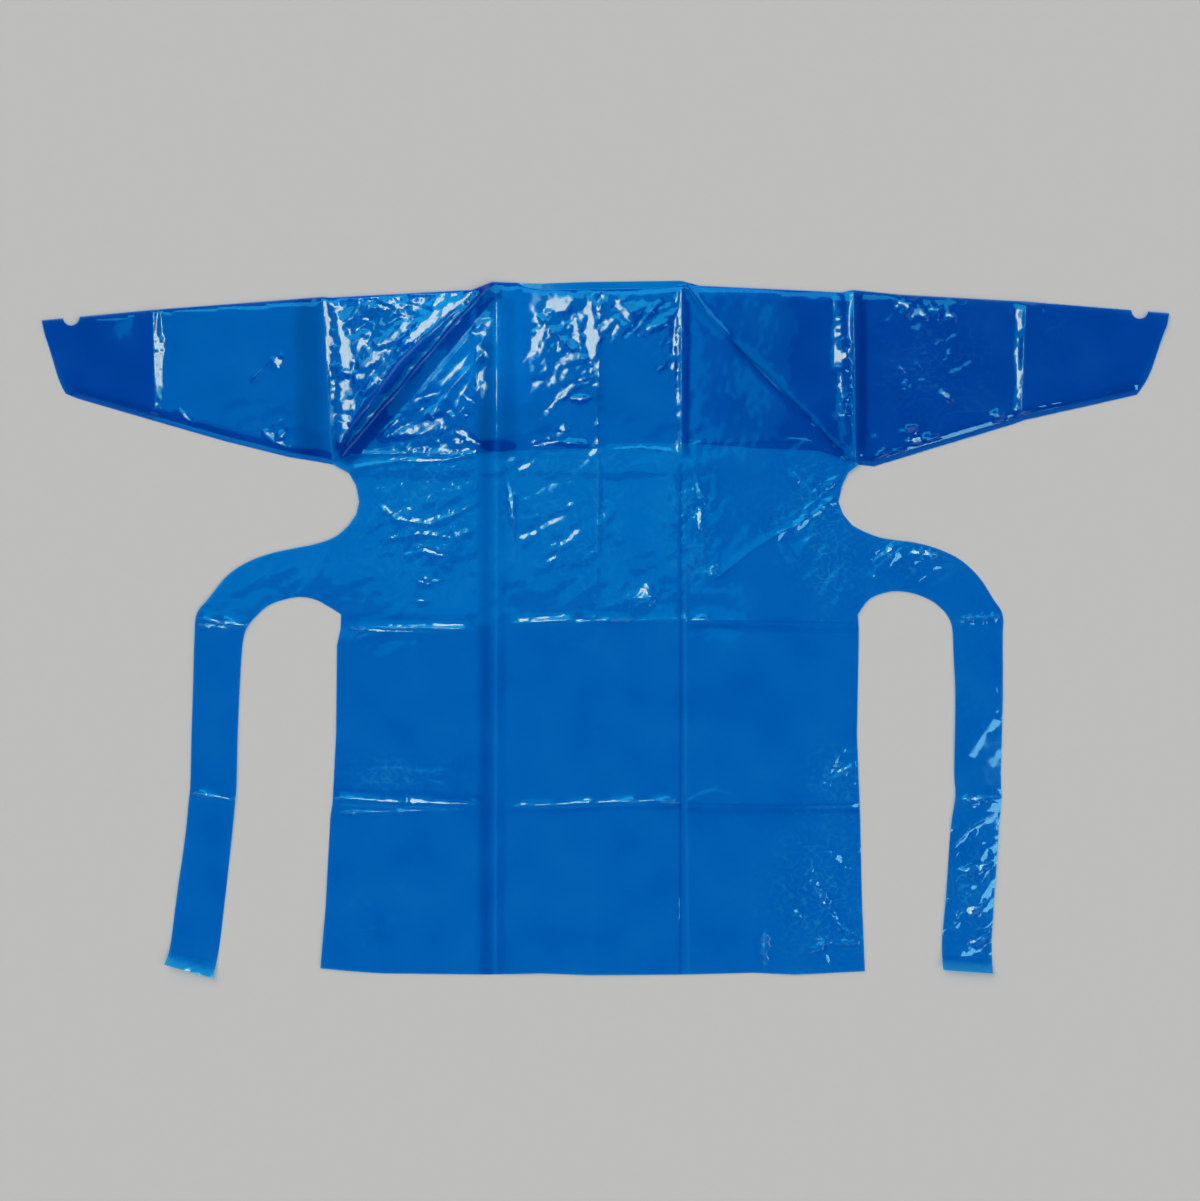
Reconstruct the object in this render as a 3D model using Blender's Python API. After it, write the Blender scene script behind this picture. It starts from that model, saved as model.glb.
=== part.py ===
"""An isolation gown of thin blue plastic film, laid flat on its back with the front up.

Its pieces are a front, a short back yoke beneath the front's upper part, two sleeves that are
flattened tubes, and two waist ties. X runs across the gown, Y runs up towards the neck and Z
is up from the surface that it lies on. The origin is on that surface, under the middle of the
laid gown. Sizes are in millimetres: "across" is measured from the middle line, with the
viewer's right positive, and "down" is measured from the neck line towards the hem.
"""

import math
from collections import namedtuple

import bmesh
import bpy
import numpy as np
from mathutils import Vector

MM = 0.001

# Driving sizes
WALL = 1.0  # film wall as built
SEAM_GAP = 0.3  # between pieces at a seam, and between two layers
LAYER = WALL + SEAM_GAP  # underside of whatever lies on one layer of film
NECK_Y = 600.6  # from the origin up to the neck line
ARMPIT = 316.0  # down
TIE_TOP = 421.0  # down, where a tie leaves the body's side
TIE_FOOT = 575.0
HEM = 1196.0
YOKE_CLEARED = 322.0  # the front lies on the yoke down to here
FLOOR_REACHED = 346.0  # and on the surface from here
FLANGE_WIDTH = 8.6  # welded edge under a sleeve
FLANGE_WALL = 1.6  # two layers fused
WELD_SLOPE = 2.0  # width of the step from the sleeve's layers down to the flange
WELD_CALM = 14.0  # sleeve folds fade out this near the weld
THUMB_WIDTH = 29.0
THUMB_DEPTH = 14.0
THUMB_SIDES = 20
CUTTER_BELOW = 6.0
CUTTER_ABOVE = 18.0
NECK_DIP = 13.0  # the front's neck edge lies this far below the back's
NECK_ENDS = (-150.0, 146.0)  # across
NECK_FLATNESS = 4  # power of the neck's arc, flatter in the middle than a circle's 2
TIE_LIFT = 8.0  # a tie's end stands this far off the surface
TIE_LIFT_LENGTH = 46.0
TIE_STEPS = 3  # cells between two sections of a tie
TIE_CELLS = 4  # cells across a tie
SLEEVE_STEPS = 15  # cells along a sleeve

FILM_BLUE = (0.004, 0.125, 0.47, 1.0)
FILM_ROUGHNESS = 0.22
SHARP_ANGLE = math.radians(40)

# The front's side edges: armhole fold, armhole curve, tie root, body side.
Section = namedtuple("Section", "down left right")
FRONT_EDGES = (
    Section(0, -489.5, 428.5),
    Section(ARMPIT, -471, 438),
    Section(330, -444, 420),
    Section(353, -431, 409),
    Section(380, -426, 403),
    Section(402, -431, 411),
    Section(TIE_TOP, -444, 427),
    Section(TIE_FOOT, -457.5, 436.5),
    Section(598, -458, 438),
    Section(630, -464.5, 438),
    Section(782, -466, 435),
    Section(900, -472, 439.5),
    Section(926, -476, 440.5),
    Section(1080, -484, 444),
    Section(HEM, -493, 448.5),
)
FRONT_ROWS = (
    0, 14, 36, 62, 90, 118, 146, 174, 202, 230, 256, 278, 294, ARMPIT, 330, 353, 380, 402,
    TIE_TOP, 446, 474, 502, 530, 554, TIE_FOOT, 600, 626, 658, 692, 726, 760, 794, 828, 856,
    880, 904, 928, 960, 994, 1028, 1062, 1096, 1130, 1164, HEM,
)  # fmt: skip

# Upper edge of the laid gown between the armholes: shoulder folds and the back's neck edge
EdgePoint = namedtuple("EdgePoint", "across down")
SHOULDER_LINE = (
    EdgePoint(-490, 26),
    EdgePoint(-476, 27.5),
    EdgePoint(-231, 14),
    EdgePoint(-196, 0),
    EdgePoint(-112, 3),
    EdgePoint(-34, 0),
    EdgePoint(132, -2),
    EdgePoint(163, 7),
    EdgePoint(369, 16.5),
    EdgePoint(407, 18.5),
    EdgePoint(429, 14),
)
YOKE_EDGE = (
    EdgePoint(-473, 313),
    EdgePoint(-440, 298),
    EdgePoint(-226, 296),
    EdgePoint(-137, 291),
    EdgePoint(-15, 288),
    EdgePoint(4, 279),
    EdgePoint(146, 279),
    EdgePoint(255, 287),
    EdgePoint(369, 292),
    EdgePoint(439, 314),
)
YOKE_STEPS = (0, 0.35, 0.7, 1)
HEM_LINE = (
    EdgePoint(-493, -9),
    EdgePoint(-440, -4),
    EdgePoint(-386, 0),
    EdgePoint(-200, 2),
    EdgePoint(-112, 0),
    EdgePoint(-27, 3),
    EdgePoint(132, 2),
    EdgePoint(255, -1),
    EdgePoint(326, 2),
    EdgePoint(376, 0),
    EdgePoint(448, -4),
)  # down from HEM

# The front's columns follow its three long pack folds, given where they cross neck line and hem.
Fold = namedtuple("Fold", "neck hem")
LONG_FOLDS = (Fold(-184, -191), Fold(-4, -21), Fold(136, 132))
FRONT_BAYS = (11, 7, 6, 12)  # cells across each bay between sides and folds
FOOT = 24.0  # half the width of a long fold's ridge
TOP_BLEND = 256.0  # rows this far down have lost the shoulder line's shape
HEM_BLEND = 120.0

# A sleeve: its upper fold, its welded lower edge and its cuff. Across is away from the middle.
SleeveCut = namedtuple("SleeveCut", "fold weld cuff")
CuffPoint = namedtuple("CuffPoint", "share across")
LEFT_CUT = SleeveCut(
    fold=(EdgePoint(471, 24.5), EdgePoint(785, 48.5), EdgePoint(975, 66.5)),
    weld=(
        EdgePoint(471, ARMPIT),
        EdgePoint(496, 311),
        EdgePoint(546, 303),
        EdgePoint(659, 275),
        EdgePoint(779, 240.5),
        EdgePoint(913, 201.5),
    ),
    cuff=(
        CuffPoint(0, 975),
        CuffPoint(0.2, 969),
        CuffPoint(0.94, 929),
        CuffPoint(1, 913),
    ),
)
RIGHT_CUT = SleeveCut(
    fold=(EdgePoint(429, 14), EdgePoint(510, 22), EdgePoint(728, 34), EdgePoint(975, 54)),
    weld=(
        EdgePoint(438, ARMPIT),
        EdgePoint(464, 319),
        EdgePoint(590, 281),
        EdgePoint(703, 247),
        EdgePoint(724, 239),
        EdgePoint(744, 235),
        EdgePoint(919, 195),
    ),
    cuff=(CuffPoint(0, 975), CuffPoint(0.15, 971), CuffPoint(1, 919)),
)
SLEEVE_SHARES = (0, 0.08, 0.22, 0.38, 0.55, 0.72, 0.87)  # of the depth from fold to weld
THUMB_ACROSS = 924.0

# The ties, one row for each section from the body's side to the end. The first row is the root.
TieSection = namedtuple("TieSection", "outer_across outer_down inner_across inner_down")
LEFT_TIE = (
    TieSection(466, 440, 478, 562),
    TieSection(500, 453, 503, 549),
    TieSection(540, 461, 530, 545),
    TieSection(580, 470, 558, 550),
    TieSection(620, 485, 583, 560),
    TieSection(655, 509, 602, 576),
    TieSection(685, 546, 617, 593),
    TieSection(707, 575, 625, 611),
    TieSection(711, 620, 629, 640),
    TieSection(713, 690, 632, 690),
    TieSection(716, 780, 636, 780),
    TieSection(718, 866, 638, 868),
    TieSection(721, 900, 641, 905),
    TieSection(727, 960, 646, 958),
    TieSection(742, 1066, 658, 1066),
    TieSection(753, 1150, 668, 1150),
    TieSection(762, 1180, 678, 1203),
)
RIGHT_TIE = (
    TieSection(448, 432, 453, 552),
    TieSection(475, 442, 472, 541),
    TieSection(505, 447, 498, 535),
    TieSection(535, 451, 525, 537),
    TieSection(570, 460, 551, 545),
    TieSection(610, 478, 572, 557),
    TieSection(645, 509, 590, 575),
    TieSection(672, 550, 599, 595),
    TieSection(687, 576, 601, 618),
    TieSection(687, 620, 602, 647),
    TieSection(687, 721, 605, 721),
    TieSection(684, 850, 603, 845),
    TieSection(685, 893, 605, 888),
    TieSection(680, 950, 597, 946),
    TieSection(672, 1070, 589, 1060),
    TieSection(668, 1140, 582, 1140),
    TieSection(669, 1195, 583, 1189),
)

# Ridges of the cloth, one row each: its line, its rise, and how far it reaches to each side
Ridge = namedtuple("Ridge", "x1 d1 x2 d2 rise reach")
RIDGES = (
    # Long pack folds
    Ridge(-184, 0, -191, 1200, 4.0, FOOT),
    Ridge(-4, 0, -21, 1200, 4.5, FOOT),
    Ridge(136, 0, 132, 1200, 4.5, FOOT),
    # Pack folds across the gown
    Ridge(-471, 294, 440, 292, 3.0, 26),
    Ridge(-458, 606, -230, 598, 4.5, 26),
    Ridge(-230, 598, 438, 600, 3.5, 26),
    Ridge(-472, 898, -230, 906, 5.0, 25),
    Ridge(-230, 902, 440, 906, 4.0, 25),
    # Armholes and tie roots
    Ridge(-489, 10, -471, 316, 5.0, 34),
    Ridge(429, 10, 438, 316, 5.0, 34),
    Ridge(-444, 421, -457.5, 575, 4.0, 30),
    Ridge(427, 421, 436.5, 575, 4.0, 30),
    # Slanting pulls from neck to armpit
    Ridge(-188, 6, -462, 312, 6.0, 44),
    Ridge(-262, 20, -440, 205, 4.0, 34),
    Ridge(140, 6, 430, 308, 4.5, 44),
    # Pull from the right armhole into the front
    Ridge(398, 378, 258, 463, 4.0, 34),
    Ridge(258, 463, 184, 526, 4.5, 34),
    Ridge(184, 526, 180, 600, 3.5, 30),
    # Soft rucks at the left of the waist and the lower front
    Ridge(-420, 440, -330, 560, 3.5, 36),
    Ridge(-300, 830, -430, 800, 3.0, 34),
    Ridge(300, 1180, 430, 930, 3.5, 40),
    Ridge(60, 520, -40, 360, 3.0, 36),
    # Sleeves
    Ridge(-788, 40, -782, 242, 4.5, 30),
    Ridge(728, 30, 722, 240, 4.5, 30),
    Ridge(-640, 60, -560, 250, 3.0, 34),
    Ridge(520, 60, 620, 220, 3.5, 36),
    Ridge(860, 70, 880, 170, 3.0, 30),
    # Ties
    Ridge(-720, 560, -610, 620, 3.5, 28),
    Ridge(-740, 888, -620, 896, 3.5, 26),
    Ridge(590, 600, 700, 585, 3.5, 28),
    Ridge(590, 888, 700, 900, 3.5, 26),
)
RIDGE_SHARPNESS = 1.4  # above 1, so that a ridge's crest is sharp and its feet are soft
RIDGE_ENDS = 0.12  # share of a ridge's length over which it fades in at each end
END_RISE = 0.45  # share of its rise that is left at its very end


def place(across, down, z):
    """A point of the laid gown in metres."""
    return Vector((across * MM, (NECK_Y - down) * MM, z * MM))


def read(table, at, key, value):
    """The value column of a table at a place between its rows."""
    keys = [getattr(row, key) for row in table]
    values = [getattr(row, value) for row in table]
    return float(np.interp(at, keys, values))


def blend(a, b, share):
    return a + (b - a) * share


def ridge_rise(ridge, across, down):
    """Height of one ridge above the flat cloth at a point."""
    along_x = ridge.x2 - ridge.x1
    along_d = ridge.d2 - ridge.d1
    length = math.hypot(along_x, along_d)
    off_x = across - ridge.x1
    off_d = down - ridge.d1
    share = min(max((off_x * along_x + off_d * along_d) / length**2, 0.0), 1.0)
    off = math.hypot(off_x - share * along_x, off_d - share * along_d) / ridge.reach
    if off >= 1.0:
        return 0.0
    fade = min(min(share, 1.0 - share) / RIDGE_ENDS, 1.0)
    return ridge.rise * blend(END_RISE, 1.0, fade) * (1.0 - off) ** RIDGE_SHARPNESS


def cloth_rise(across, down):
    """Height of the creased cloth above the level that it lies on."""
    return math.sqrt(sum(ridge_rise(r, across, down) ** 2 for r in RIDGES))


def front_level(down):
    """The front lies on the yoke, then steps down to the surface below it."""
    share = (down - YOKE_CLEARED) / (FLOOR_REACHED - YOKE_CLEARED)
    return LAYER * (1.0 - min(max(share, 0.0), 1.0))


def neck_dip(across):
    """How far the front's neck edge lies below the back's, along a shallow arc."""
    middle = sum(NECK_ENDS) / 2
    off = (across - middle) / (NECK_ENDS[1] - middle)
    return NECK_DIP * math.sqrt(max(1.0 - off**NECK_FLATNESS, 0.0))


def new_node(name, bm):
    """Turn a bmesh into a named film solid with its own material."""
    bmesh.ops.recalc_face_normals(bm, faces=bm.faces)
    mesh = bpy.data.meshes.new(name)
    bm.to_mesh(mesh)
    bm.free()
    mesh.shade_smooth()
    mesh.set_sharp_from_angle(angle=SHARP_ANGLE)
    node = bpy.data.objects.new(name, mesh)
    bpy.context.scene.collection.objects.link(node)
    material = bpy.data.materials.new(name + "_film")
    material.use_nodes = True
    shader = material.node_tree.nodes["Principled BSDF"]
    shader.inputs["Base Color"].default_value = FILM_BLUE
    shader.inputs["Roughness"].default_value = FILM_ROUGHNESS
    shader.inputs["Metallic"].default_value = 0.0
    mesh.materials.append(material)
    return node


def add_cell(bm, corners):
    """One cell of a sheet as two triangles, split along the more level diagonal."""
    a, b, c, d = corners
    if abs(a.co.z - c.co.z) <= abs(b.co.z - d.co.z):
        bm.faces.new((a, b, c))
        bm.faces.new((a, c, d))
    else:
        bm.faces.new((a, b, d))
        bm.faces.new((b, c, d))


def film_wall(name, rows):
    """A sheet of film from rows of (across, down, z) points of its underside."""
    bm = bmesh.new()
    under = [[bm.verts.new(place(*p)) for p in row] for row in rows]
    over = [[bm.verts.new(place(x, d, z + WALL)) for x, d, z in row] for row in rows]
    last_row = len(rows) - 1
    last_column = len(rows[0]) - 1
    for i in range(last_row):
        for j in range(last_column):
            for side in (under, over):
                corners = (side[i][j], side[i][j + 1], side[i + 1][j + 1], side[i + 1][j])
                add_cell(bm, corners)
    border = [(0, j) for j in range(last_column)]
    border += [(i, last_column) for i in range(last_row)]
    border += [(last_row, j) for j in range(last_column, 0, -1)]
    border += [(i, 0) for i in range(last_row, 0, -1)]
    for (i, j), (m, n) in zip(border, border[1:] + border[:1]):
        bm.faces.new((under[i][j], under[m][n], over[m][n], over[i][j]))
    return new_node(name, bm)


def column_places(down):
    """Where the front's columns cross a row, from its left side to its right."""
    lines = [read(FRONT_EDGES, down, "down", "left")]
    lines += [blend(fold.neck, fold.hem, down / HEM) for fold in LONG_FOLDS]
    lines += [read(FRONT_EDGES, down, "down", "right")]
    places = []
    for start, end, cells in zip(lines, lines[1:], FRONT_BAYS):
        foot = FOOT / (end - start)
        inner = [blend(foot, 1.0 - foot, k / (cells - 2)) for k in range(cells - 1)]
        places += [blend(start, end, share) for share in [0.0] + inner]
    return places + [lines[-1]]


def front_rows():
    """Underside points of the front, a row for each section from shoulder to hem."""
    rows = []
    for nominal in FRONT_ROWS:
        row = []
        for column, across in enumerate(column_places(nominal)):
            top = read(SHOULDER_LINE, across, "across", "down") + neck_dip(across)
            hem = read(HEM_LINE, across, "across", "down")
            down = nominal + top * max(1.0 - nominal / TOP_BLEND, 0.0)
            down += hem * max(1.0 - (HEM - nominal) / HEM_BLEND, 0.0)
            x = column_places(down)[column]
            row.append((x, down, front_level(down) + cloth_rise(x, down)))
        rows.append(row)
    return rows


def yoke_rows():
    """Underside points of the back yoke, which lies flat on the surface."""
    rows = []
    for share in YOKE_STEPS:
        row = []
        for column, across in enumerate(column_places(ARMPIT * share)):
            top = read(SHOULDER_LINE, across, "across", "down")
            foot = read(YOKE_EDGE, across, "across", "down")
            down = blend(top, foot, share)
            row.append((column_places(down)[column], down, 0.0))
        rows.append(row)
    return rows


def sleeve_point(cut, side, along, share, inset):
    """Across, down and fold height of a sleeve's upper layer.

    Along runs from armhole to cuff, share from fold to weld, and inset moves down from there.
    """
    edge = "left" if side < 0 else "right"
    armhole = blend(cut.fold[0].down, ARMPIT, share) + inset
    start = side * read(FRONT_EDGES, armhole, "down", edge) + SEAM_GAP
    across = blend(start, read(cut.cuff, share, "share", "across"), along)
    fold = read(cut.fold, across, "across", "down")
    weld = read(cut.weld, across, "across", "down")
    down = blend(fold, weld, share) + inset
    fade = min(max((weld - FLANGE_WIDTH - down) / WELD_CALM, 0.0), 1.0)
    return side * across, down, fade * cloth_rise(side * across, down)


def sleeve_rings(cut, side, along):
    """The outer and inner ring of (across, down, z) points at one station of a sleeve."""
    top = LAYER + WALL
    x, d, rise = sleeve_point(cut, side, along, 0, 0)
    outer = [(x, d - WALL, (top + rise) / 2)]
    inner = [(x, d + WALL, (top + rise) / 2)]
    spots = [(share, WALL / 2) for share in SLEEVE_SHARES] + [(1, -FLANGE_WIDTH)]
    layer = [sleeve_point(cut, side, along, *spot) for spot in spots]
    hollow = [(layer[0][0], layer[0][1] + WALL, layer[0][2])] + layer[1:]
    outer += [(x, d, top + rise) for x, d, rise in layer]
    inner += [(x, d, LAYER + rise) for x, d, rise in hollow]
    x, d, _ = sleeve_point(cut, side, along, 1, WELD_SLOPE - FLANGE_WIDTH)
    outer.append((x, d, FLANGE_WALL))
    x, d, _ = sleeve_point(cut, side, along, 1, 0)
    outer += [(x, d, FLANGE_WALL), (x, d, 0.0)]
    outer += [(x, d, 0.0) for x, d, _ in reversed(layer)]
    inner += [(x, d, WALL) for x, d, _ in reversed(hollow)]
    return outer, inner


def rim_pairs(layer_points):
    """Which points of the outer and inner ring face each other at an open end."""
    pairs = [(k, k) for k in range(layer_points + 1)]  # fold, then the upper layer
    pairs += [(layer_points + 1, layer_points), (layer_points + 2, layer_points)]
    pairs += [(layer_points + 3, layer_points + 1)]  # lower edge of the flange
    pairs += [(layer_points + 4 + k, layer_points + 1 + k) for k in range(layer_points)]
    return pairs


def sleeve(name, cut, side):
    """A flattened tube of film: folded above, welded below, open at armhole and cuff."""
    bm = bmesh.new()
    outer = []
    inner = []
    for step in range(SLEEVE_STEPS + 1):
        rings = sleeve_rings(cut, side, step / SLEEVE_STEPS)
        for kept, ring in zip((outer, inner), rings):
            kept.append([bm.verts.new(place(*p)) for p in ring])
    for rings in (outer, inner):
        for near, far in zip(rings, rings[1:]):
            for k in range(len(near)):
                add_cell(bm, (near[k - 1], near[k], far[k], far[k - 1]))
    pairs = rim_pairs(len(SLEEVE_SHARES) + 1)
    for end in (0, -1):
        for (o1, i1), (o2, i2) in zip(pairs, pairs[1:] + pairs[:1]):
            corners = [outer[end][o1], outer[end][o2], inner[end][i2], inner[end][i1]]
            bm.faces.new(list(dict.fromkeys(corners)))
    node = new_node(name, bm)
    cut_thumb_hole(node, cut, side)
    return node


def cut_thumb_hole(node, cut, side):
    """Cut the rounded notch through both layers at the fold, beside the cuff."""
    fold = read(cut.fold, THUMB_ACROSS, "across", "down")
    bm = bmesh.new()
    rim = []
    for k in range(THUMB_SIDES):
        turn = 2 * math.pi * k / THUMB_SIDES
        across = side * THUMB_ACROSS + THUMB_WIDTH / 2 * math.cos(turn)
        rim.append(bm.verts.new(place(across, fold + THUMB_DEPTH * math.sin(turn), -CUTTER_BELOW)))
    base = bm.faces.new(rim)
    raised = bmesh.ops.extrude_face_region(bm, geom=[base])["geom"]
    corners = [v for v in raised if isinstance(v, bmesh.types.BMVert)]
    rise = Vector((0, 0, (CUTTER_BELOW + CUTTER_ABOVE) * MM))
    bmesh.ops.translate(bm, verts=corners, vec=rise)
    bmesh.ops.recalc_face_normals(bm, faces=bm.faces)
    mesh = bpy.data.meshes.new(node.name + "_thumb_cutter")
    bm.to_mesh(mesh)
    bm.free()
    cutter = bpy.data.objects.new(mesh.name, mesh)
    cutter.hide_render = True
    cutter.display_type = "WIRE"
    bpy.context.scene.collection.objects.link(cutter)
    hole = node.modifiers.new("thumb_hole", "BOOLEAN")
    hole.operation = "DIFFERENCE"
    hole.solver = "EXACT"
    hole.object = cutter


def smooth_through(values, at):
    """A smooth curve through evenly numbered values, read at a place between two of them."""
    k = min(int(at), len(values) - 2)
    t = at - k
    before, a = values[max(k - 1, 0)], values[k]
    b, after = values[k + 1], values[min(k + 2, len(values) - 1)]
    slope_a = (b - before) / 2
    slope_b = (after - a) / 2
    share_b = t * t * (3 - 2 * t)
    turn = t * (1 - t)
    return blend(a, b, share_b) + turn * (1 - t) * slope_a - turn * t * slope_b


def tie_rows(sections, side):
    """Underside points of a tie, which leaves the body's side and bends down beside it."""
    edge = "left" if side < 0 else "right"
    root = [side * read(FRONT_EDGES, d, "down", edge) + SEAM_GAP for d in (TIE_TOP, TIE_FOOT)]
    table = (TieSection(root[0], TIE_TOP, root[1], TIE_FOOT), *sections)
    columns = [[getattr(row, name) for row in table] for name in TieSection._fields]
    stations = TIE_STEPS * (len(table) - 1) + 1
    end = (table[-1].outer_down + table[-1].inner_down) / 2
    rows = []
    for station in range(stations):
        x1, d1, x2, d2 = (smooth_through(c, station / TIE_STEPS) for c in columns)
        row = []
        for cell in range(TIE_CELLS + 1):
            share = cell / TIE_CELLS
            across = side * blend(x1, x2, share)
            down = blend(d1, d2, share)
            to_end = end - blend(d1, d2, 0.5)
            lift = TIE_LIFT * max(1.0 - to_end / TIE_LIFT_LENGTH, 0.0) ** 2
            row.append((across, down, cloth_rise(across, down) + lift))
        rows.append(row)
    return rows


def build():
    for old in list(bpy.data.objects):
        bpy.data.objects.remove(old, do_unlink=True)
    film_wall("front_panel", front_rows())
    film_wall("back_yoke", yoke_rows())
    sleeve("sleeve_left", LEFT_CUT, -1)
    sleeve("sleeve_right", RIGHT_CUT, 1)
    film_wall("tie_left", tie_rows(LEFT_TIE, -1))
    film_wall("tie_right", tie_rows(RIGHT_TIE, 1))


build()
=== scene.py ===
import math
from collections import namedtuple

import bpy
import numpy as np
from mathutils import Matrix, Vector, kdtree
from mathutils.geometry import delaunay_2d_cdt


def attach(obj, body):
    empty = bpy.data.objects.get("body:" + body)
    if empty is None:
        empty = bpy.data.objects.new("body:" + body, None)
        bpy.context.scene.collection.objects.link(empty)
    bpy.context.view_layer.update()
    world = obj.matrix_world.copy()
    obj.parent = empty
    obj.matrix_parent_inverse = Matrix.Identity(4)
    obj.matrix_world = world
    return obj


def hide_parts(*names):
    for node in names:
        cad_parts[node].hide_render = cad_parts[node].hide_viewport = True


# An isolation gown of thin blue plastic film, laid flat with its front up. Places are
# (across, down) in mm: across from the middle line, down from the neck line.
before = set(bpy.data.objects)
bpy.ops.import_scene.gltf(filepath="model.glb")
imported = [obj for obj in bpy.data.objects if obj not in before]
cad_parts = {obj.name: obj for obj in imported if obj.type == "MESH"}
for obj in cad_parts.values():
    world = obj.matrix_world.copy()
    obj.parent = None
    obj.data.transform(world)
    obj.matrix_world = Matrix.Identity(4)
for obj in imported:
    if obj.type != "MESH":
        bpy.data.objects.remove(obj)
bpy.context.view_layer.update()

gown = {
    "neckY": 600.6,  # from the origin up to the neck line
    "tieTop": 421.0,
    "tieFoot": 575.0,
    "hem": 1196.0,
    "layer": 1.3,  # from one layer of film up to the next
    "loft": 1.1,  # film lies about this far above what is under it
    "floor": 0.2,  # height of the lowest film's middle
    "rollDepth": 4.0,  # over which the film rounds off to a fold
    "yokeHidden": 3.0,  # the front hides the yoke from this far in
    "yokeRise": 12.0,  # and the yoke has risen by 1 mm this far in
    "yokeCrinkle": 0.12,
    "filmWall": 0.25,  # drawn thicker than real film, so that both its faces stay apart
    "step": 7.4,  # between the points of a sheet
    "crinkleStep": 4.6,  # and where it is crinkled more than the next number
    "crinkleFrom": 0.5,
    "creaseStep": 4.0,  # along a crease
    "creaseRows": (0.0, 1.3, -1.3, 3.8, -3.8),  # to each side of a crease
    "edgeStep": 4.5,
    "edgeRows": (1.4, -1.4),  # to each side of the border
    "gleamRows": (0, 0.72, -0.72, 1, -1),  # beside a gleam, in shares of its reach
    "closest": 1.15,  # points of rows stay this far apart
    "fieldGap": 0.6,  # and the other points this share of their step
    "crinkleHeight": 0.35,  # of the finest crinkles, where the film is fully crinkled
    "sharpAngle": 50.0,  # degrees: shaded as an edge from here on
    "yokeCleared": 322.0,  # the front lies on the yoke down to here
    "floorReached": 346.0,
}

# Outline of the front, as in the CAD model: down, left side, right side
frontSides = np.array((
    (0, -489.5, 428.5), (316, -471, 438), (330, -444, 420), (353, -431, 409), (380, -426, 403),
    (402, -431, 411), (421, -444, 427), (575, -457.5, 436.5), (598, -458, 438),
    (630, -464.5, 438), (782, -466, 435), (900, -472, 439.5), (926, -476, 440.5),
    (1080, -484, 444), (1196, -493, 448.5),
))
shoulderLine = np.array((
    (-490, 26), (-476, 27.5), (-231, 14), (-196, 0), (-112, 3), (-34, 0), (132, -2), (163, 7),
    (369, 16.5), (407, 18.5), (429, 14),
))
yokeEdge = np.array((
    (-473, 313), (-440, 298), (-226, 296), (-137, 291), (-15, 288), (4, 279), (146, 279),
    (255, 287), (369, 292), (439, 314),
))
hemLine = np.array((
    (-493, -9), (-440, -4), (-386, 0), (-200, 2), (-112, 0), (-27, 3), (132, 2), (255, -1),
    (326, 2), (376, 0), (448, -4),
))
shoulderEnds = (-488.2, 429)
neckEnds = (-150.0, 146.0)
neckDip = 13.0


# Rows of a table as named tuples. Each row starts with a route: across, down, across, down.
def placed(kind, rows):
    return [kind(np.reshape(route, (-1, 2)), *rest) for route, *rest in rows]


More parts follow.
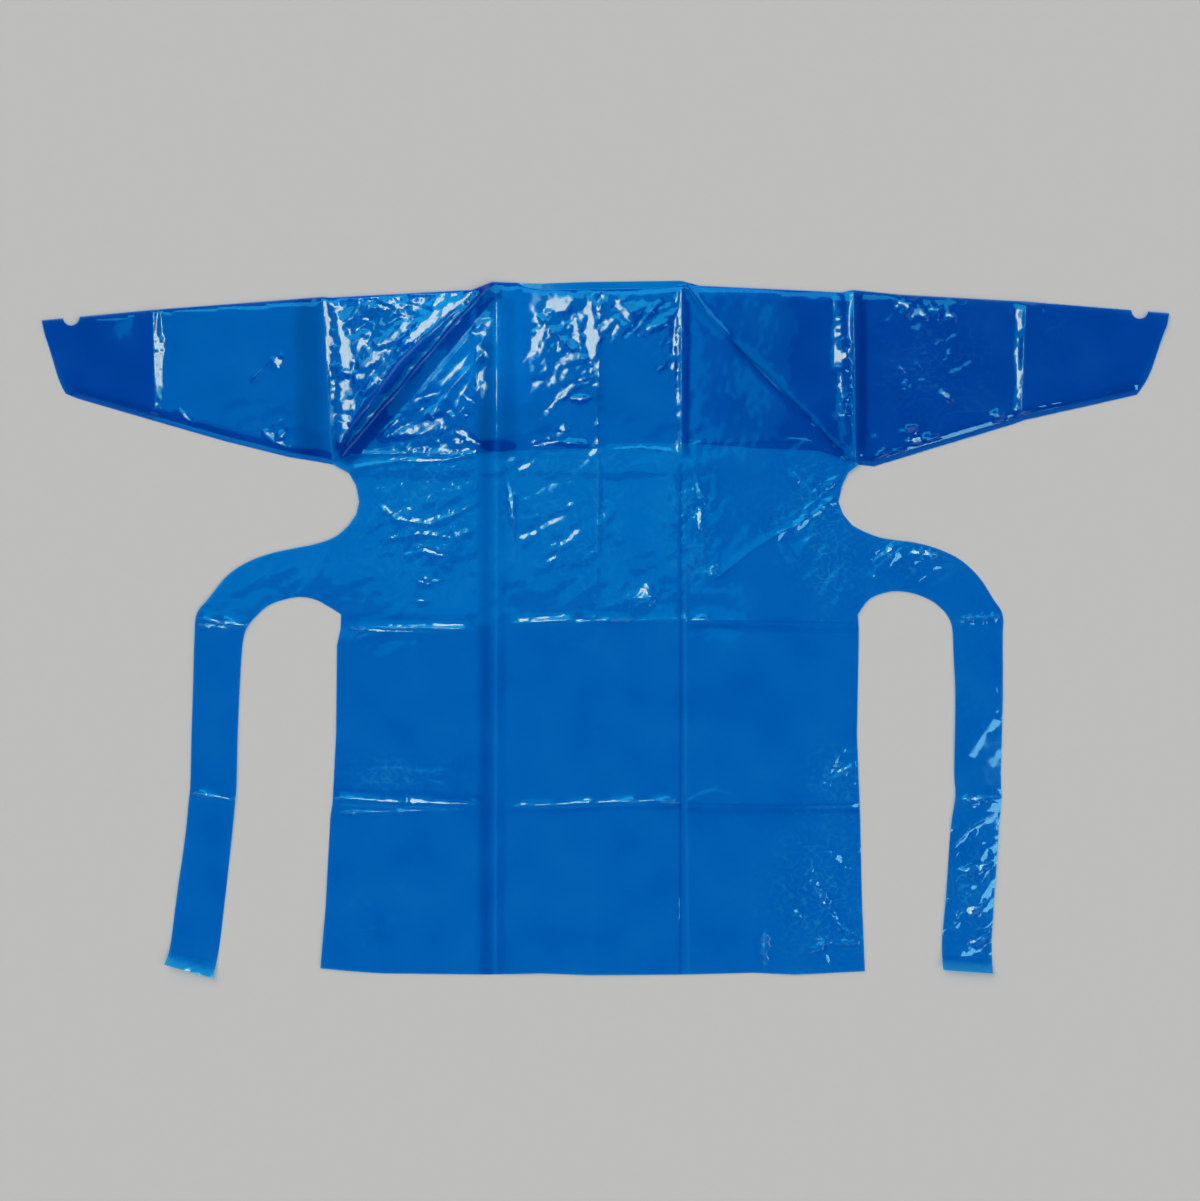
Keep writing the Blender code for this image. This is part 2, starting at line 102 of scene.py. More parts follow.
# The film's creases. Each route runs down the gown or towards the viewer's right. Rise is up or
# down in mm, lowLeft and highRight are how far the film slopes off to each side, and line is how
# much the crease itself is whitened (above 0), partly whitening of the film and partly painted
# highlight, or darkened as painted shade.
Crease = namedtuple("Crease", "route rise lowLeft highRight line")
creases = placed(Crease, (
    # long pack folds
    ((-188, -14, -188, 294), 3.4, 52, 56, 0.4),
    ((-188, 294, -189, 619, -191, 1216), -1.2, 24, 20, 0.3),
    ((-224, -7, -222, 619, -227, 1216), 0.5, 10, 10, 0), ((-8, -3, -13, 291), 0.3, 8, 9, -0.45),
    ((-13, 301, -15, 477), 1, 7, 9, 0.5), ((-15, 481, -22, 1216), 0.5, 8, 8, 0.1),
    ((132, -14, 131, 308), 1.2, 9, 14, 0.45), ((131, 308, 129, 1216), -0.7, 6, 6, -0.5),
    ((138, 481, 139, 879, 144, 1216), 0.5, 6, 6, 0.4),
    # armholes and sleeve pack folds
    ((-490, 3, -471, 325), 1.7, 52, 26, 0.8), ((428, 3, 433, 325), 2.6, 9, 16, 0.5),
    ((-783, 31, -778, 247), 2.6, 30, 20, 0.35), ((727, 28, 719, 239), 4.2, 18, 30, 0.35),
    # slanting pulls from neck to armpit
    ((-221, 7, -352, 138, -463, 284), 4.2, 7, 25, 0),
    ((-196, 3, -330, 156, -458, 308), 4.2, 6, 28, 0.35),
    ((-203, 59, -293, 159, -394, 277), 1.4, 22, 20, 0),
    ((-207, 118, -266, 183, -335, 273), 1.2, 18, 18, 0),
    ((-207, 170, -241, 211, -286, 273), 1, 18, 18, 0),
    ((-188, 24, -314, 176, -442, 318), -0.8, 8, 8, 0),
    ((136, 3, 174, 54, 217, 100), 0.9, 7, 6, 0.4),
    ((217, 100, 319, 201, 432, 318), -0.8, 8, 7, -0.55),
    ((-122, 54, -75, 100, -27, 145), 1, 9, 9, 0.2),
    # pack fold along the yoke's edge
    ((-454, 304, -426, 298, -226, 296), 0.8, 8, 8, 0.3),
    ((-444, 324, -413, 318, -362, 310, -281, 308, -226, 298), 1.2, 7, 10, 0.35),
    ((-131, 281, -74, 275, -23, 285), 1.2, 8, 9, 0.35),
    ((1, 291, 60, 287, 122, 294), 0.7, 8, 8, 0.1),
    ((139, 281, 309, 275, 373, 291, 432, 315), 0.3, 8, 9, -0.3),
    ((309, 272, 336, 273, 364, 279), 0.6, 5, 6, 0.3),
    # second cross fold
    ((-452, 625, -418, 597, -376, 599, -233, 599), 1.3, 8, 8, 0.4),
    ((-440, 621, -402, 606, -369, 602, -317, 606, -236, 599), 1, 6, 6, 0.35),
    ((-162, 590, -80, 585, 22, 581, 48, 586), 1.4, 8, 9, 0.35),
    ((-162, 597, -80, 592, -10, 588), 0.6, 5, 5, 0.15),
    ((49, 586, 136, 583, 183, 584), 1.1, 8, 8, 0.25),
    ((183, 585, 319, 588, 437, 590), 0.8, 9, 9, -0.3),
    # third cross fold
    ((-470, 892, -356, 898, -217, 903), 2, 9, 11, 0.4), ((-470, 905, -281, 910), 1.1, 7, 7, 0.3),
    ((-471, 918, -356, 915, -252, 912), 0.8, 7, 7, 0.25),
    ((-160, 907, -60, 901, 86, 896, 125, 899), 1.8, 9, 10, 0.4),
    ((-148, 912, -10, 907, 77, 903), 0.7, 5, 5, 0.2),
    ((136, 901, 267, 905, 437, 903), 1, 9, 9, -0.35), ((326, 910, 439, 907), 0.6, 6, 6, 0.35),
    ((134, 901, 163, 887, 191, 879, 219, 887, 241, 901), 0.8, 6, 6, 0.2),
    # pull from the right armhole
    ((184, 519, 255, 464, 292, 441, 343, 413, 404, 370), 1.5, 14, 12, -0.4),
    ((295, 446, 319, 472, 342, 498), 0.6, 6, 6, 0.2),
    ((406, 370, 420, 398, 437, 412), 0.8, 8, 8, 0.2),
    # single-layer crinkles
    ((-172, 324, -163, 360, -160, 403, -160, 498), 0.9, 6, 8, 0.3),
    ((150, 308, 163, 377, 169, 474, 163, 491), 0.9, 7, 8, 0.3),
    ((150, 484, 160, 505, 184, 512, 198, 491), 0.6, 5, 5, 0.2),
    ((-394, 386, -362, 412, -304, 419, -252, 398, -214, 377), 0.8, 8, 8, 0.2),
    ((-383, 446, -321, 436, -266, 443, -234, 429), 0.7, 8, 8, 0.15),
    ((-356, 343, -338, 412, -349, 474), 0.6, 7, 7, 0.1),
    ((-266, 346, -272, 412, -248, 467), 0.6, 7, 7, 0.1),
    ((-338, 467, -311, 460, -281, 474), 0.9, 7, 8, 0.2),
    ((-331, 522, -311, 514, -288, 519), 0.8, 7, 7, 0.2),
    ((323, 325, 357, 363, 399, 391), 0.7, 7, 7, 0.15),
    ((336, 398, 371, 374, 402, 332), 0.6, 6, 6, 0.15),
    ((51, 562, 70, 536, 80, 524), 1.6, 10, 12, 0.3),
    ((-452, 868, -414, 844, -359, 841, -304, 849, -266, 841), 0.6, 6, 7, 0.2),
    ((-439, 874, -404, 860, -369, 867), 0.5, 5, 5, 0.15),
    ((-349, 872, -307, 862, -272, 872), 0.5, 5, 5, 0.15),
    ((-328, 619, -335, 682, -311, 734), 0.4, 6, 6, 0.05),
    ((364, 872, 399, 855, 435, 827), 0.9, 8, 9, 0.25),
    ((381, 844, 409, 834, 437, 841), 0.6, 6, 7, 0.2),
    ((274, 1187, 271, 1145, 281, 1114), 0.8, 7, 7, 0.25),
    ((302, 1069, 347, 1107, 378, 1159, 388, 1187), 0.8, 8, 8, 0.15),
    ((357, 1035, 381, 1083, 416, 1121, 440, 1135), 0.9, 8, 8, 0.2),
    ((336, 958, 381, 983, 423, 1021), 0.7, 9, 9, 0.1),
    ((319, 1173, 357, 1138, 402, 1128, 440, 1152), 0.8, 8, 8, 0.2),
    ((-466, 917, -425, 983, -404, 1069), 0.6, 16, 16, 0),
    ((-459, 1173, -404, 1121, -338, 1035), 0.6, 18, 18, 0),
    # sleeves
    ((-736, 225, -708, 246), 0.9, 8, 8, 0.2), ((-594, 256, -567, 277, -542, 291), 1.3, 9, 9, 0.3),
    ((-615, 180, -577, 138, -553, 121), 0.8, 9, 9, 0.15),
    ((-584, 266, -570, 246, -553, 235), 0.8, 7, 7, 0.2),
    ((497, 31, 530, 45, 561, 69), 1.3, 10, 12, 0.2),
    ((518, 62, 561, 38, 610, 62), 1.1, 9, 11, 0.2),
    ((461, 311, 492, 294, 520, 287), 1.1, 8, 9, 0.25),
    # ties
    ((-708, 580, -658, 588, -615, 595), 1.8, 9, 10, 0.45),
    ((-705, 592, -663, 595, -622, 600), 1, 6, 6, 0.3),
    ((-717, 882, -677, 889, -636, 896), 1.5, 8, 9, 0.4), ((-717, 894, -636, 905), 0.8, 6, 6, 0.2),
    ((599, 588, 641, 580, 686, 576), 1.2, 8, 9, 0.3),
    ((599, 896, 641, 891, 686, 889), 1.5, 9, 9, 0.4), ((603, 905, 682, 901), 0.7, 6, 6, 0.2),
    ((454, 516, 482, 481, 520, 457), 0.9, 7, 8, 0.25),
    ((461, 481, 492, 460, 506, 446), 0.8, 6, 7, 0.25),
    ((516, 474, 551, 464, 579, 474), 0.9, 7, 8, 0.25),
    ((544, 516, 572, 491, 610, 498), 0.6, 7, 7, 0.1),
    ((644, 630, 662, 661, 676, 706), 0.6, 7, 7, 0.1),
    ((622, 827, 657, 775, 679, 744), 0.6, 7, 7, 0.1),
    ((596, 983, 634, 941, 676, 917), 0.8, 8, 8, 0.2),
    ((606, 1035, 634, 1010, 672, 1003), 0.8, 7, 8, 0.25),
    ((593, 1121, 620, 1083, 665, 1069), 0.9, 8, 8, 0.25),
    ((617, 1156, 644, 1121, 669, 1114), 0.7, 7, 7, 0.2),
    ((-646, 543, -594, 509, -529, 491), 0.7, 14, 14, 0.05),
    ((-529, 550, -497, 502, -477, 460), 0.8, 12, 12, 0.05),
))

# Painted shade and painted light, where the film shows darker or lighter than the rest: route,
# reach, tone
PaintedShade = namedtuple("PaintedShade", "route reach tone")
paintedShades = placed(PaintedShade, (
    # beside the long folds
    ((-205, 31, -205, 135), 20, -0.5), ((-208, 118, -207, 284), 22, -0.8),
    ((-208, 284, -208, 1190), 17, -0.42), ((-169, 42, -169, 291), 22, -0.5),
    ((-179, 294, -181, 1190), 11, -0.22), ((141, 10, 141, 294), 7, -0.6),
    ((-4, 31, -4, 284), 6, -0.3),
    # armholes
    ((-515, 31, -508, 284), 34, -0.6), ((-480, 42, -468, 284), 8, -0.6),
    ((442, 31, 444, 284), 14, -0.75), ((381, 221, 402, 273), 26, -0.3),
    # slanting pulls
    ((-203, 17, -331, 156, -445, 291), 34, -1), ((-234, 100, -304, 183, -390, 273), 20, -0.15),
    ((153, 31, 267, 159, 416, 308), 12, -0.3),
    # cross folds
    ((-451, 581, -227, 581), 9, -0.2), ((-470, 879, -217, 891), 7, -0.25),
    ((146, 597, 437, 600), 7, -0.3), ((146, 913, 437, 915), 7, -0.3),
    ((-162, 917, 129, 907), 6, -0.25),
    # bays with a broad painted shade, and one with a faint painted light
    ((163, 723, 267, 723), 60, -0.12), ((-113, 758, -79, 1069), 50, 0.06),
))

# Small flats in the film that lean to the softbox: route, half width, share of the full lean
Gleam = namedtuple("Gleam", "route reach lean", defaults=[1])
gleams = placed(Gleam, (
    # upper left of the front
    ((-442, 31, -356, 22, -227, 14), 4.2), ((-418, 33, -383, 43, -352, 54), 5.4),
    ((-380, 31, -328, 43, -279, 59), 4.8), ((-418, 64, -406, 71), 4.8),
    ((-402, 121, -439, 187), 14.4), ((-373, 111, -432, 152), 14.4), ((-314, 69, -407, 114), 12),
    ((-383, 159, -425, 197), 8.4), ((-227, 16, -290, 59, -362, 121), 14.4),
    ((-470, 35, -456, 102, -449, 176, -454, 256, -463, 294), 15.6), ((-331, 204, -279, 189), 8.4),
    ((-376, 270, -328, 256, -267, 230), 10.8), ((-264, 254, -217, 280), 7.2),
    ((-245, 199, -226, 208), 4.2), ((-233, 88, -203, 88), 3.6), ((-217, 64, -198, 62), 3.6),
    ((-248, 227, -233, 234), 4.8),
    # middle of the front
    ((-148, 137, -132, 118, -96, 69), 8.4), ((-54, 7, -93, 54), 24),
    ((-10, 28, -61, 83), 13.2, 0.93), ((-25, 31, -23, 156), 13.2), ((-54, 59, -44, 114), 9.6),
    ((-82, 145, -37, 121), 10.8), ((-20, 156, -58, 183, -98, 225), 7.2),
    ((-68, 202, -23, 202), 4.8), ((-136, 176, -94, 171), 6), ((-46, 175, -22, 175), 4.8),
    ((-82, 256, -61, 256), 3), ((8, 19, 49, 80), 14.4, 0.95), ((35, 92, 70, 59, 98, 31), 6),
    ((56, 90, 113, 66), 7.2, 0.96), ((127, 17, 120, 69, 117, 118, 120, 180), 4.8),
    ((84, 156, 108, 138), 4.8), ((-124, 282, -84, 276, -27, 282), 3.1),
    ((-362, 310, -281, 308, -231, 298), 3.6),
    # right armhole and sleeves
    ((404, 29, 406, 100, 407, 178, 414, 247, 420, 279), 13.2),
    ((-776, 52, -771, 118, -774, 218), 7.2), ((-734, 225, -712, 246), 6),
    ((-591, 260, -546, 291), 10.8), ((-570, 273, -549, 256), 7.2),
    ((-568, 126, -565, 159), 9.6, 0.97), ((504, 33, 558, 62), 16.8), ((554, 45, 608, 67), 12),
    ((458, 308, 523, 291), 8.4), ((518, 277, 579, 266), 4.8),
    ((715, 48, 712, 118, 712, 221), 7.2), ((698, 42, 705, 62), 4.8), ((753, 42, 762, 59), 4.8),
    ((663, 225, 693, 246), 6), ((504, 145, 520, 156), 4.8), ((532, 138, 546, 145), 4.8),
    ((511, 180, 525, 173), 4.8), ((587, 126, 599, 121), 6), ((575, 187, 603, 211), 6),
    ((459, 263, 473, 273), 6), ((506, 260, 546, 253), 4.8),
    # single layer
    ((-316, 348, -300, 343), 6), ((-347, 474, -314, 464, -281, 474), 6, 0.97),
    ((-333, 512, -307, 522, -285, 516), 4.8), ((-331, 550, -307, 552), 4.8),
    ((-172, 325, -163, 377, -160, 426), 6, 0.9), ((153, 325, 163, 377, 160, 446), 8.4, 0.95),
    ((153, 498, 184, 505, 198, 488), 4.8, 0.95), ((72, 526, 60, 561), 14.4),
    ((54, 547, 80, 536), 7.2), ((317, 329, 336, 343), 6, 0.9), ((402, 336, 364, 363), 7.2, 0.9),
    ((368, 865, 402, 851, 433, 834), 7.2, 0.93), ((274, 1121, 274, 1182), 4.8, 0.95),
    ((357, 1041, 388, 1086), 6, 0.93), ((392, 1104, 426, 1128), 6, 0.93),
    ((336, 1164, 385, 1138, 437, 1142), 6, 0.93), ((-435, 600, -376, 604, -321, 604), 4.2),
    ((-158, 590, -79, 585, 49, 585), 3.6), ((139, 584, 181, 584), 3.6),
    ((-466, 893, -356, 898, -221, 903), 4.8), ((-459, 918, -356, 915, -255, 912), 3, 0.97),
    ((-158, 907, -60, 901, 86, 896, 125, 899), 4.2),
    # ties
    ((-705, 581, -660, 588, -615, 595), 4.8), ((-703, 593, -646, 599), 4.2),
    ((-715, 884, -677, 889, -639, 896), 4.8), ((613, 581, 682, 578), 4.8, 0.9),
    ((606, 896, 682, 891), 4.8), ((461, 484, 503, 453), 8.4), ((520, 467, 575, 474), 8.4),
    ((603, 1021, 669, 1007), 7.2), ((610, 1097, 658, 1074), 7.2), ((624, 1152, 665, 1121), 7.2),
))

# Crinkled parts: across, down, reach across, reach down, amount
crinkled = (
    (-400, 90, 80, 110, 0.9), (-300, 60, 110, 50, 0.7), (-300, 250, 90, 50, 0.5),
    (-70, 100, 70, 90, 0.9), (50, 60, 70, 60, 0.6), (110, 120, 30, 100, 0.6),
    (-120, 300, 380, 30, 0.3), (-320, 400, 150, 170, 0.75), (-60, 420, 130, 150, 0.6),
    (150, 420, 60, 150, 0.8), (360, 400, 90, 110, 1.0), (390, 520, 50, 70, 0.8),
    (60, 555, 60, 40, 0.8), (-370, 850, 110, 40, 0.9), (370, 1060, 110, 150, 1.1),
    (400, 850, 60, 60, 1.0), (-600, 240, 60, 60, 0.4), (570, 150, 110, 110, 0.75),
    (760, 100, 60, 90, 0.25), (530, 480, 90, 60, 1.1), (640, 1060, 70, 150, 1.0),
    (640, 700, 60, 150, 0.3), (-560, 520, 90, 60, 0.3), (-700, 1180, 60, 30, 0.4),
    (-400, 1100, 130, 130, 0.25),
)
crinkle = {
    "base": 0.12,  # amount outside those parts
    "fall": 1.4,  # how quickly it falls off from their middle
    "most": 1.3,
    "calmed": 0.8,  # share that goes on gleaming flats and in dark folds
    "calmFrom": -0.35,  # a shade darker than this is such a fold
    "calmReach": 1.2,  # it is calm to this share of the shade's reach
    "calmEdge": (1.8, 1.5),
}
facets = {
    "slant": 38.0,  # degrees, up to the right
    "stretch": 0.66,
    "bend": 0.45,  # of the facets' rows, in shares of a facet
    "fineBend": 0.3,
    "sizes": ((16.0, 0.38, 3), (36.0, 0.45, 8), (8.0, 0.24, 5)),  # size and height in mm, seed
}
folds = {
    "fall": 1.3,  # how a crease's flanks curve: 1 is straight
    "unevenness": ((37, 1.7, 0.2), (15, 1, 0.1)),  # wave in mm, turn for each crease, height
    "taper": 14,  # its ends run out over this length at least
    "wideTaper": 0.4,  # or over this share of its wider flank
    "line": (6, 1.7, 10),  # of its line's tone, whitening with painted highlight or painted shade: reach, width, length of its ends
    "shadeEdge": 1.3,  # how quickly a painted shade reaches its full tone
}
flats = {
    "margin": 1.3,  # a flat is worked out to this share of its reach
    "spare": 0.4 / 7.6,  # lean that may be missing, per metre of the softbox's side
    "highest": 5,  # one that would rise by more is broken up
    "risen": 0.9,  # share of each part after which it drops back
    "least": 0.8,  # it stays this far above what it lies on
    "crumple": 0.15,  # share of the crumpling that is left on it
    "ragged": (0.16, 10, 11),  # its border: share of its reach, size in mm, seed
    "border": 0.25,  # its softness, as a share of its reach
    "tip": 0.03,  # its ends are this blunt
}
# Slow waves: strength, then two sines, each with a radian's length across, down and its start
billows = (
    (1.0, (61, 190, 0.6), (-240, 83, 1.1)),
    (0.6, (33, -47, 2.0), (90, 37, 0.0)),
)

studio = {
    # Each is mirrored by the film alone: place of its middle, sides, colour, glow. The softbox
    # lies over wider, dimmer and bluer panels, as the light about it falls off.
    "lights": {
        "softbox": ((-0.44, 1.0, 3.6), (0.3, 0.42), "#FFD08E", 9.5),
        "softboxEdge": ((-0.44, 1.0, 3.61), (0.46, 0.6), "#97FFED", 2.4),
        "nearPanel": ((-0.45, 1.57, 3.62), (2.06, 2.05), "#00F2FF", 0.32),
        "widePanel": ((-0.53, 1.31, 3.63), (1.9, 2.58), "#00E4FF", 0.75),
        "farPanel": ((-0.2, 2.0, 3.64), (2.8, 1.6), "#4CF6FF", 2.0),
        "sidePanel": ((1.64, -0.95, 3.6), (0.46, 1.0), "#B4FFF2", 5.0),
    },
    "camera": (-0.0095, 0.0496, 4.0),
    "frameWidth": 2.076,  # of the floor that the camera sees
    "sensor": 36.0,
    "windowSun": (38.0, 128.0, 2.25, 50.0),  # elevation, azimuth, strength, angle
    "fillSun": (40.0, -35.0, 1.87, 60.0),
    "horizon": 0.85,
    "floor": "#BEBEBD",
    "floorReach": 9.0,
    "floorHeight": -0.0005,
    "wall": "#E9E9E8",
}


def hexLinear(code, alpha=1.0):
    values = [int(code[k : k + 2], 16) / 255 for k in (1, 3, 5)]
    values = [v / 12.92 if v <= 0.04045 else ((v + 0.055) / 1.055) ** 2.4 for v in values]
    return (*values, alpha)


# A node that is given as another's input stands for its first output.
def addNode(tree, kind, inputs=None, **settings):
    node = tree.nodes.new(kind)
    for name, value in settings.items():
        setattr(node, name, value)
    for socket, value in (inputs or {}).items():
        if isinstance(value, bpy.types.Node):
            value = value.outputs[0]
        if isinstance(value, bpy.types.NodeSocket):
            tree.links.new(value, node.inputs[socket])
        else:
            node.inputs[socket].default_value = value
    return node


# The lie of the film
def readAt(table, at):
    return np.interp(at, table[:, 0], table[:, 1])


def sideAt(down, side):
    return np.interp(down, frontSides[:, 0], frontSides[:, 1 if side < 0 else 2])


def toWorld(points, height):
    return np.column_stack((points[:, 0], gown["neckY"] - points[:, 1], height)) * 0.001


# How a set of points lies along a route: those within reach, how far off, the side (above 0 at
# the lower left), how far along in mm, and the route's length.
def nearRoute(points, route, reach):
    route = np.array(route, float)
    low, high = route.min(axis=0) - reach, route.max(axis=0) + reach
    found = np.flatnonzero(((points >= low) & (points <= high)).all(axis=1))
    spots = points[found]
    off = np.full(len(found), 1e9)
    side = np.zeros(len(found))
    along = np.zeros(len(found))
    done = 0.0
    for corner, step in zip(route, np.diff(route, axis=0)):
        length = math.hypot(*step)
        apart = spots - corner
        share = np.clip(apart @ step / length**2, 0, 1)
        gap = apart - share[:, None] * step
        far = np.hypot(gap[:, 0], gap[:, 1])
        nearer = far < off
        off[nearer] = far[nearer]
        side[nearer] = np.sign(step[0] * gap[nearer, 1] - step[1] * gap[nearer, 0])
        along[nearer] = done + share[nearer] * length
        done += length
    return found, off, side, along, done


def smoothShare(value):
    value = np.clip(value, 0, 1)
    return value * value * (3 - 2 * value)


# Lean of the film, in (across, down), that sends the softbox's light to the camera from a spot.
def leanToLight(spot):
    spot = np.asarray(spot, float)
    here = np.stack((spot[..., 0], gown["neckY"] - spot[..., 1], 0 * spot[..., 0]), -1) * 0.001
    lean = 0
    for place in (studio["lights"]["softbox"][0], studio["camera"]):
        ray = np.array(place) - here
        lean = lean + ray / np.linalg.norm(ray, axis=-1)[..., None]
    return lean[..., :2] / lean[..., 2:] * (-1, 1)


def billow(points):
    waves = 0
    for strength, *pair in billows:
        for across, down, start in pair:
            strength = strength * np.sin(points[:, 0] / across + points[:, 1] / down + start)
        waves = waves + strength
    return 1 + 0.6 * waves


# Flat three-cornered facets between random heights, longer along one slant, as film crumples.
def facetRise(points, size, seed):
    shape = (97, 89)
    chance = np.random.default_rng(seed).normal(0, 1, shape)
    slant, stretch = math.radians(facets["slant"]), facets["stretch"]
    bend, fineBend = facets["bend"] * size, facets["fineBend"] * size
    x, d = points[:, 0], points[:, 1]
    long = (x * math.cos(slant) - d * math.sin(slant)) * stretch
    short = (x * math.sin(slant) + d * math.cos(slant)) / stretch
    fine = np.sin(short / size * 3.1 + long / size)
    long = long + bend * np.sin(short / size * 1.3 + seed) + fineBend * fine
    fine = np.sin(long / size * 2.7 - short / size)
    short = short + bend * np.sin(long / size * 1.1 + 2 * seed) + fineBend * fine
    a = (long - short / math.sqrt(3)) / size
    b = short * 2 / math.sqrt(3) / size
    i, j = np.floor(a).astype(int), np.floor(b).astype(int)
    a, b = a - i, b - j

    def corner(right, low):
        return chance[(i + right) % shape[0], (j + low) % shape[1]]

    near = corner(0, 0) * (1 - a - b) + corner(1, 0) * a + corner(0, 1) * b
    far = corner(1, 1) * (a + b - 1) + corner(0, 1) * (1 - a) + corner(1, 0) * (1 - b)
    return np.where(a + b < 1, near, far)


# Height of the upper film above what it lies on, in mm.
def filmRise(points):
    z = gown["loft"] * billow(points)
    crumple = sum(high * facetRise(points, size, seed) for size, high, seed in facets["sizes"])
    crumple *= crinkleAt(points, False)
    z += crumple
    for index, crease in enumerate(creases):
        widest = max(crease.lowLeft, crease.highRight)
        found, off, side, along, total = nearRoute(points, crease.route, widest)
        reach = np.where(side > 0, crease.lowLeft, crease.highRight)
        uneven = 1
        for length, turn, high in folds["unevenness"]:
            uneven = uneven + high * np.sin(along / length + turn * index)
        taper = min(max(folds["taper"], folds["wideTaper"] * widest), total / 4)
        ends = smoothShare(np.minimum(along, total - along) / taper)
        slope = np.clip(1 - off / reach, 0, 1) ** folds["fall"]
        z[found] += crease.rise * uneven * ends * slope
    for gleam in gleams:
        margin = flats["margin"] * gleam.reach
        found, off, side, along, total = nearRoute(points, gleam.route, margin)
        if not len(found):
            continue
        run = gleam.route[-1] - gleam.route[0]
        run = run / np.linalg.norm(run)
        # It leans no more along its run than the softbox's size asks. A high one is broken up.
        spare = abs(run) @ np.array(studio["lights"]["softbox"][1]) * flats["spare"]
        first, last = (leanToLight(gleam.route[k]) @ run * gleam.lean for k in (0, -1))
        steepest = max(0, abs(first) - spare, abs(last) - spare)
        flat = total / max(1, round(steepest * total / flats["highest"]))
        part = np.clip(along / flat, 0, total / flat - 1e-6)
        slope = first + (last - first) * (np.floor(part) + 0.5) * flat / total
        slope = np.sign(slope) * np.maximum(0, abs(slope) - spare)
        risen, part = flats["risen"], part % 1
        drop = (part - risen) / (1 - risen)
        place = np.where(part < risen, part - 0.5, risen - 0.5 - drop * risen) * flat
        rise = slope * place + (last - first) / total * place**2 / 2
        lean = leanToLight(points[found]) * gleam.lean
        plane = lean @ np.array((-run[1], run[0])) * side * off + rise
        share = gleamShare(points[found], off, along, total, gleam.reach)
        middle = (z[found] * share).sum() / max(share.sum(), 1e-6)
        middle = max(middle, flats["least"] - (plane * share).min())
        z[found] += share * (middle + plane - z[found])
        z[found] += flats["crumple"] * share * crumple[found]
    low = 0.5
    return np.where(z < low, low * np.exp(np.minimum(z, low) / low - 1), z)


# Tone of the film: crease lines, whitened partly as painted highlight or darkened as painted
# shade, and the painted shade and painted light of the shades table.
def paintedLightAndWhiteningAt(points):
    tone = np.zeros(len(points))
    reach, width, taper = folds["line"]
    for crease in creases:
        found, off, _, along, total = nearRoute(points, crease.route, reach)
        ends = np.clip(np.minimum(along, total - along) / min(taper, total / 4), 0, 1)
        tone[found] += crease.line * ends * np.exp(-((off / width) ** 2))
    for shade in paintedShades:
        found, off, *_ = nearRoute(points, shade.route, shade.reach)
        tone[found] += shade.tone * smoothShare(folds["shadeEdge"] * (1 - off / shade.reach))
    return np.clip(tone, -1, 1)


# How much of a spot belongs to a gleaming flat: pointed at both ends, with a ragged border.
def gleamShare(spots, off, along, total, reach):
    ragged, size, seed = flats["ragged"]
    taper = np.sqrt(np.sin(math.pi * np.clip(along / total, flats["tip"], 1 - flats["tip"])))
    off = off + ragged * reach * np.clip(facetRise(spots, size, seed), -1.5, 1.5)
    return smoothShare((taper - off / reach) / flats["border"] + 0.15)


# How crinkled the film is, from 0 to about 1. The gleaming flats and dark folds stay smoother.
def crinkleAt(points, withGleams=True):
    amount = np.full(len(points), crinkle["base"])
    for *middle, reachAcross, reachDown, most in crinkled:
        far = ((points - middle) / (reachAcross, reachDown)) ** 2
        amount += most * np.exp(-crinkle["fall"] * far.sum(axis=1))
    calm = np.zeros(len(points))
    full, fall = crinkle["calmEdge"]
    for shade in paintedShades:
        if shade.tone < crinkle["calmFrom"]:
            found, off, *_ = nearRoute(points, shade.route, crinkle["calmReach"] * shade.reach)
            near = smoothShare(full - fall * off / shade.reach)
            calm[found] = np.maximum(calm[found], near)
    for gleam in gleams if withGleams else ():
        margin = flats["margin"] * gleam.reach
        found, off, _, along, total = nearRoute(points, gleam.route, margin)
        share = gleamShare(points[found], off, along, total, gleam.reach)
        calm[found] = np.maximum(calm[found], share)
    return np.clip(amount, 0, crinkle["most"]) * (1 - crinkle["calmed"] * calm)


# From an outline to a triangulated sheet
def resample(route, step):
    route = np.array(route, float)
    made = [route[:1]]
    for start, end in zip(route, route[1:]):
        cells = max(1, math.ceil(math.dist(start, end) / step))
        made.append(start + (end - start) * np.arange(1, cells + 1)[:, None] / cells)
    return np.concatenate(made)


def inside(points, outline):
    found = np.zeros(len(points), bool)
    x, y = points[:, 0], points[:, 1]
    for (x1, y1), (x2, y2) in zip(outline, np.roll(outline, -1, axis=0)):
        if y1 != y2:
            crosses = (y1 > y) != (y2 > y)
            found ^= crosses & (x < x1 + (x2 - x1) * (y - y1) / (y2 - y1))
    return found


def beside(route, offset):
    step = np.gradient(route, axis=0)
    step /= np.linalg.norm(step, axis=1)[:, None]
    return route + offset * np.column_stack((-step[:, 1], step[:, 0]))


def apartFrom(points, taken, gap):
    tree = kdtree.KDTree(len(taken))
    for index, (x, y) in enumerate(taken):
        tree.insert((x, y, 0), index)
    tree.balance()
    return np.array([tree.find((x, y, 0))[2] >= gap for x, y in points], bool)


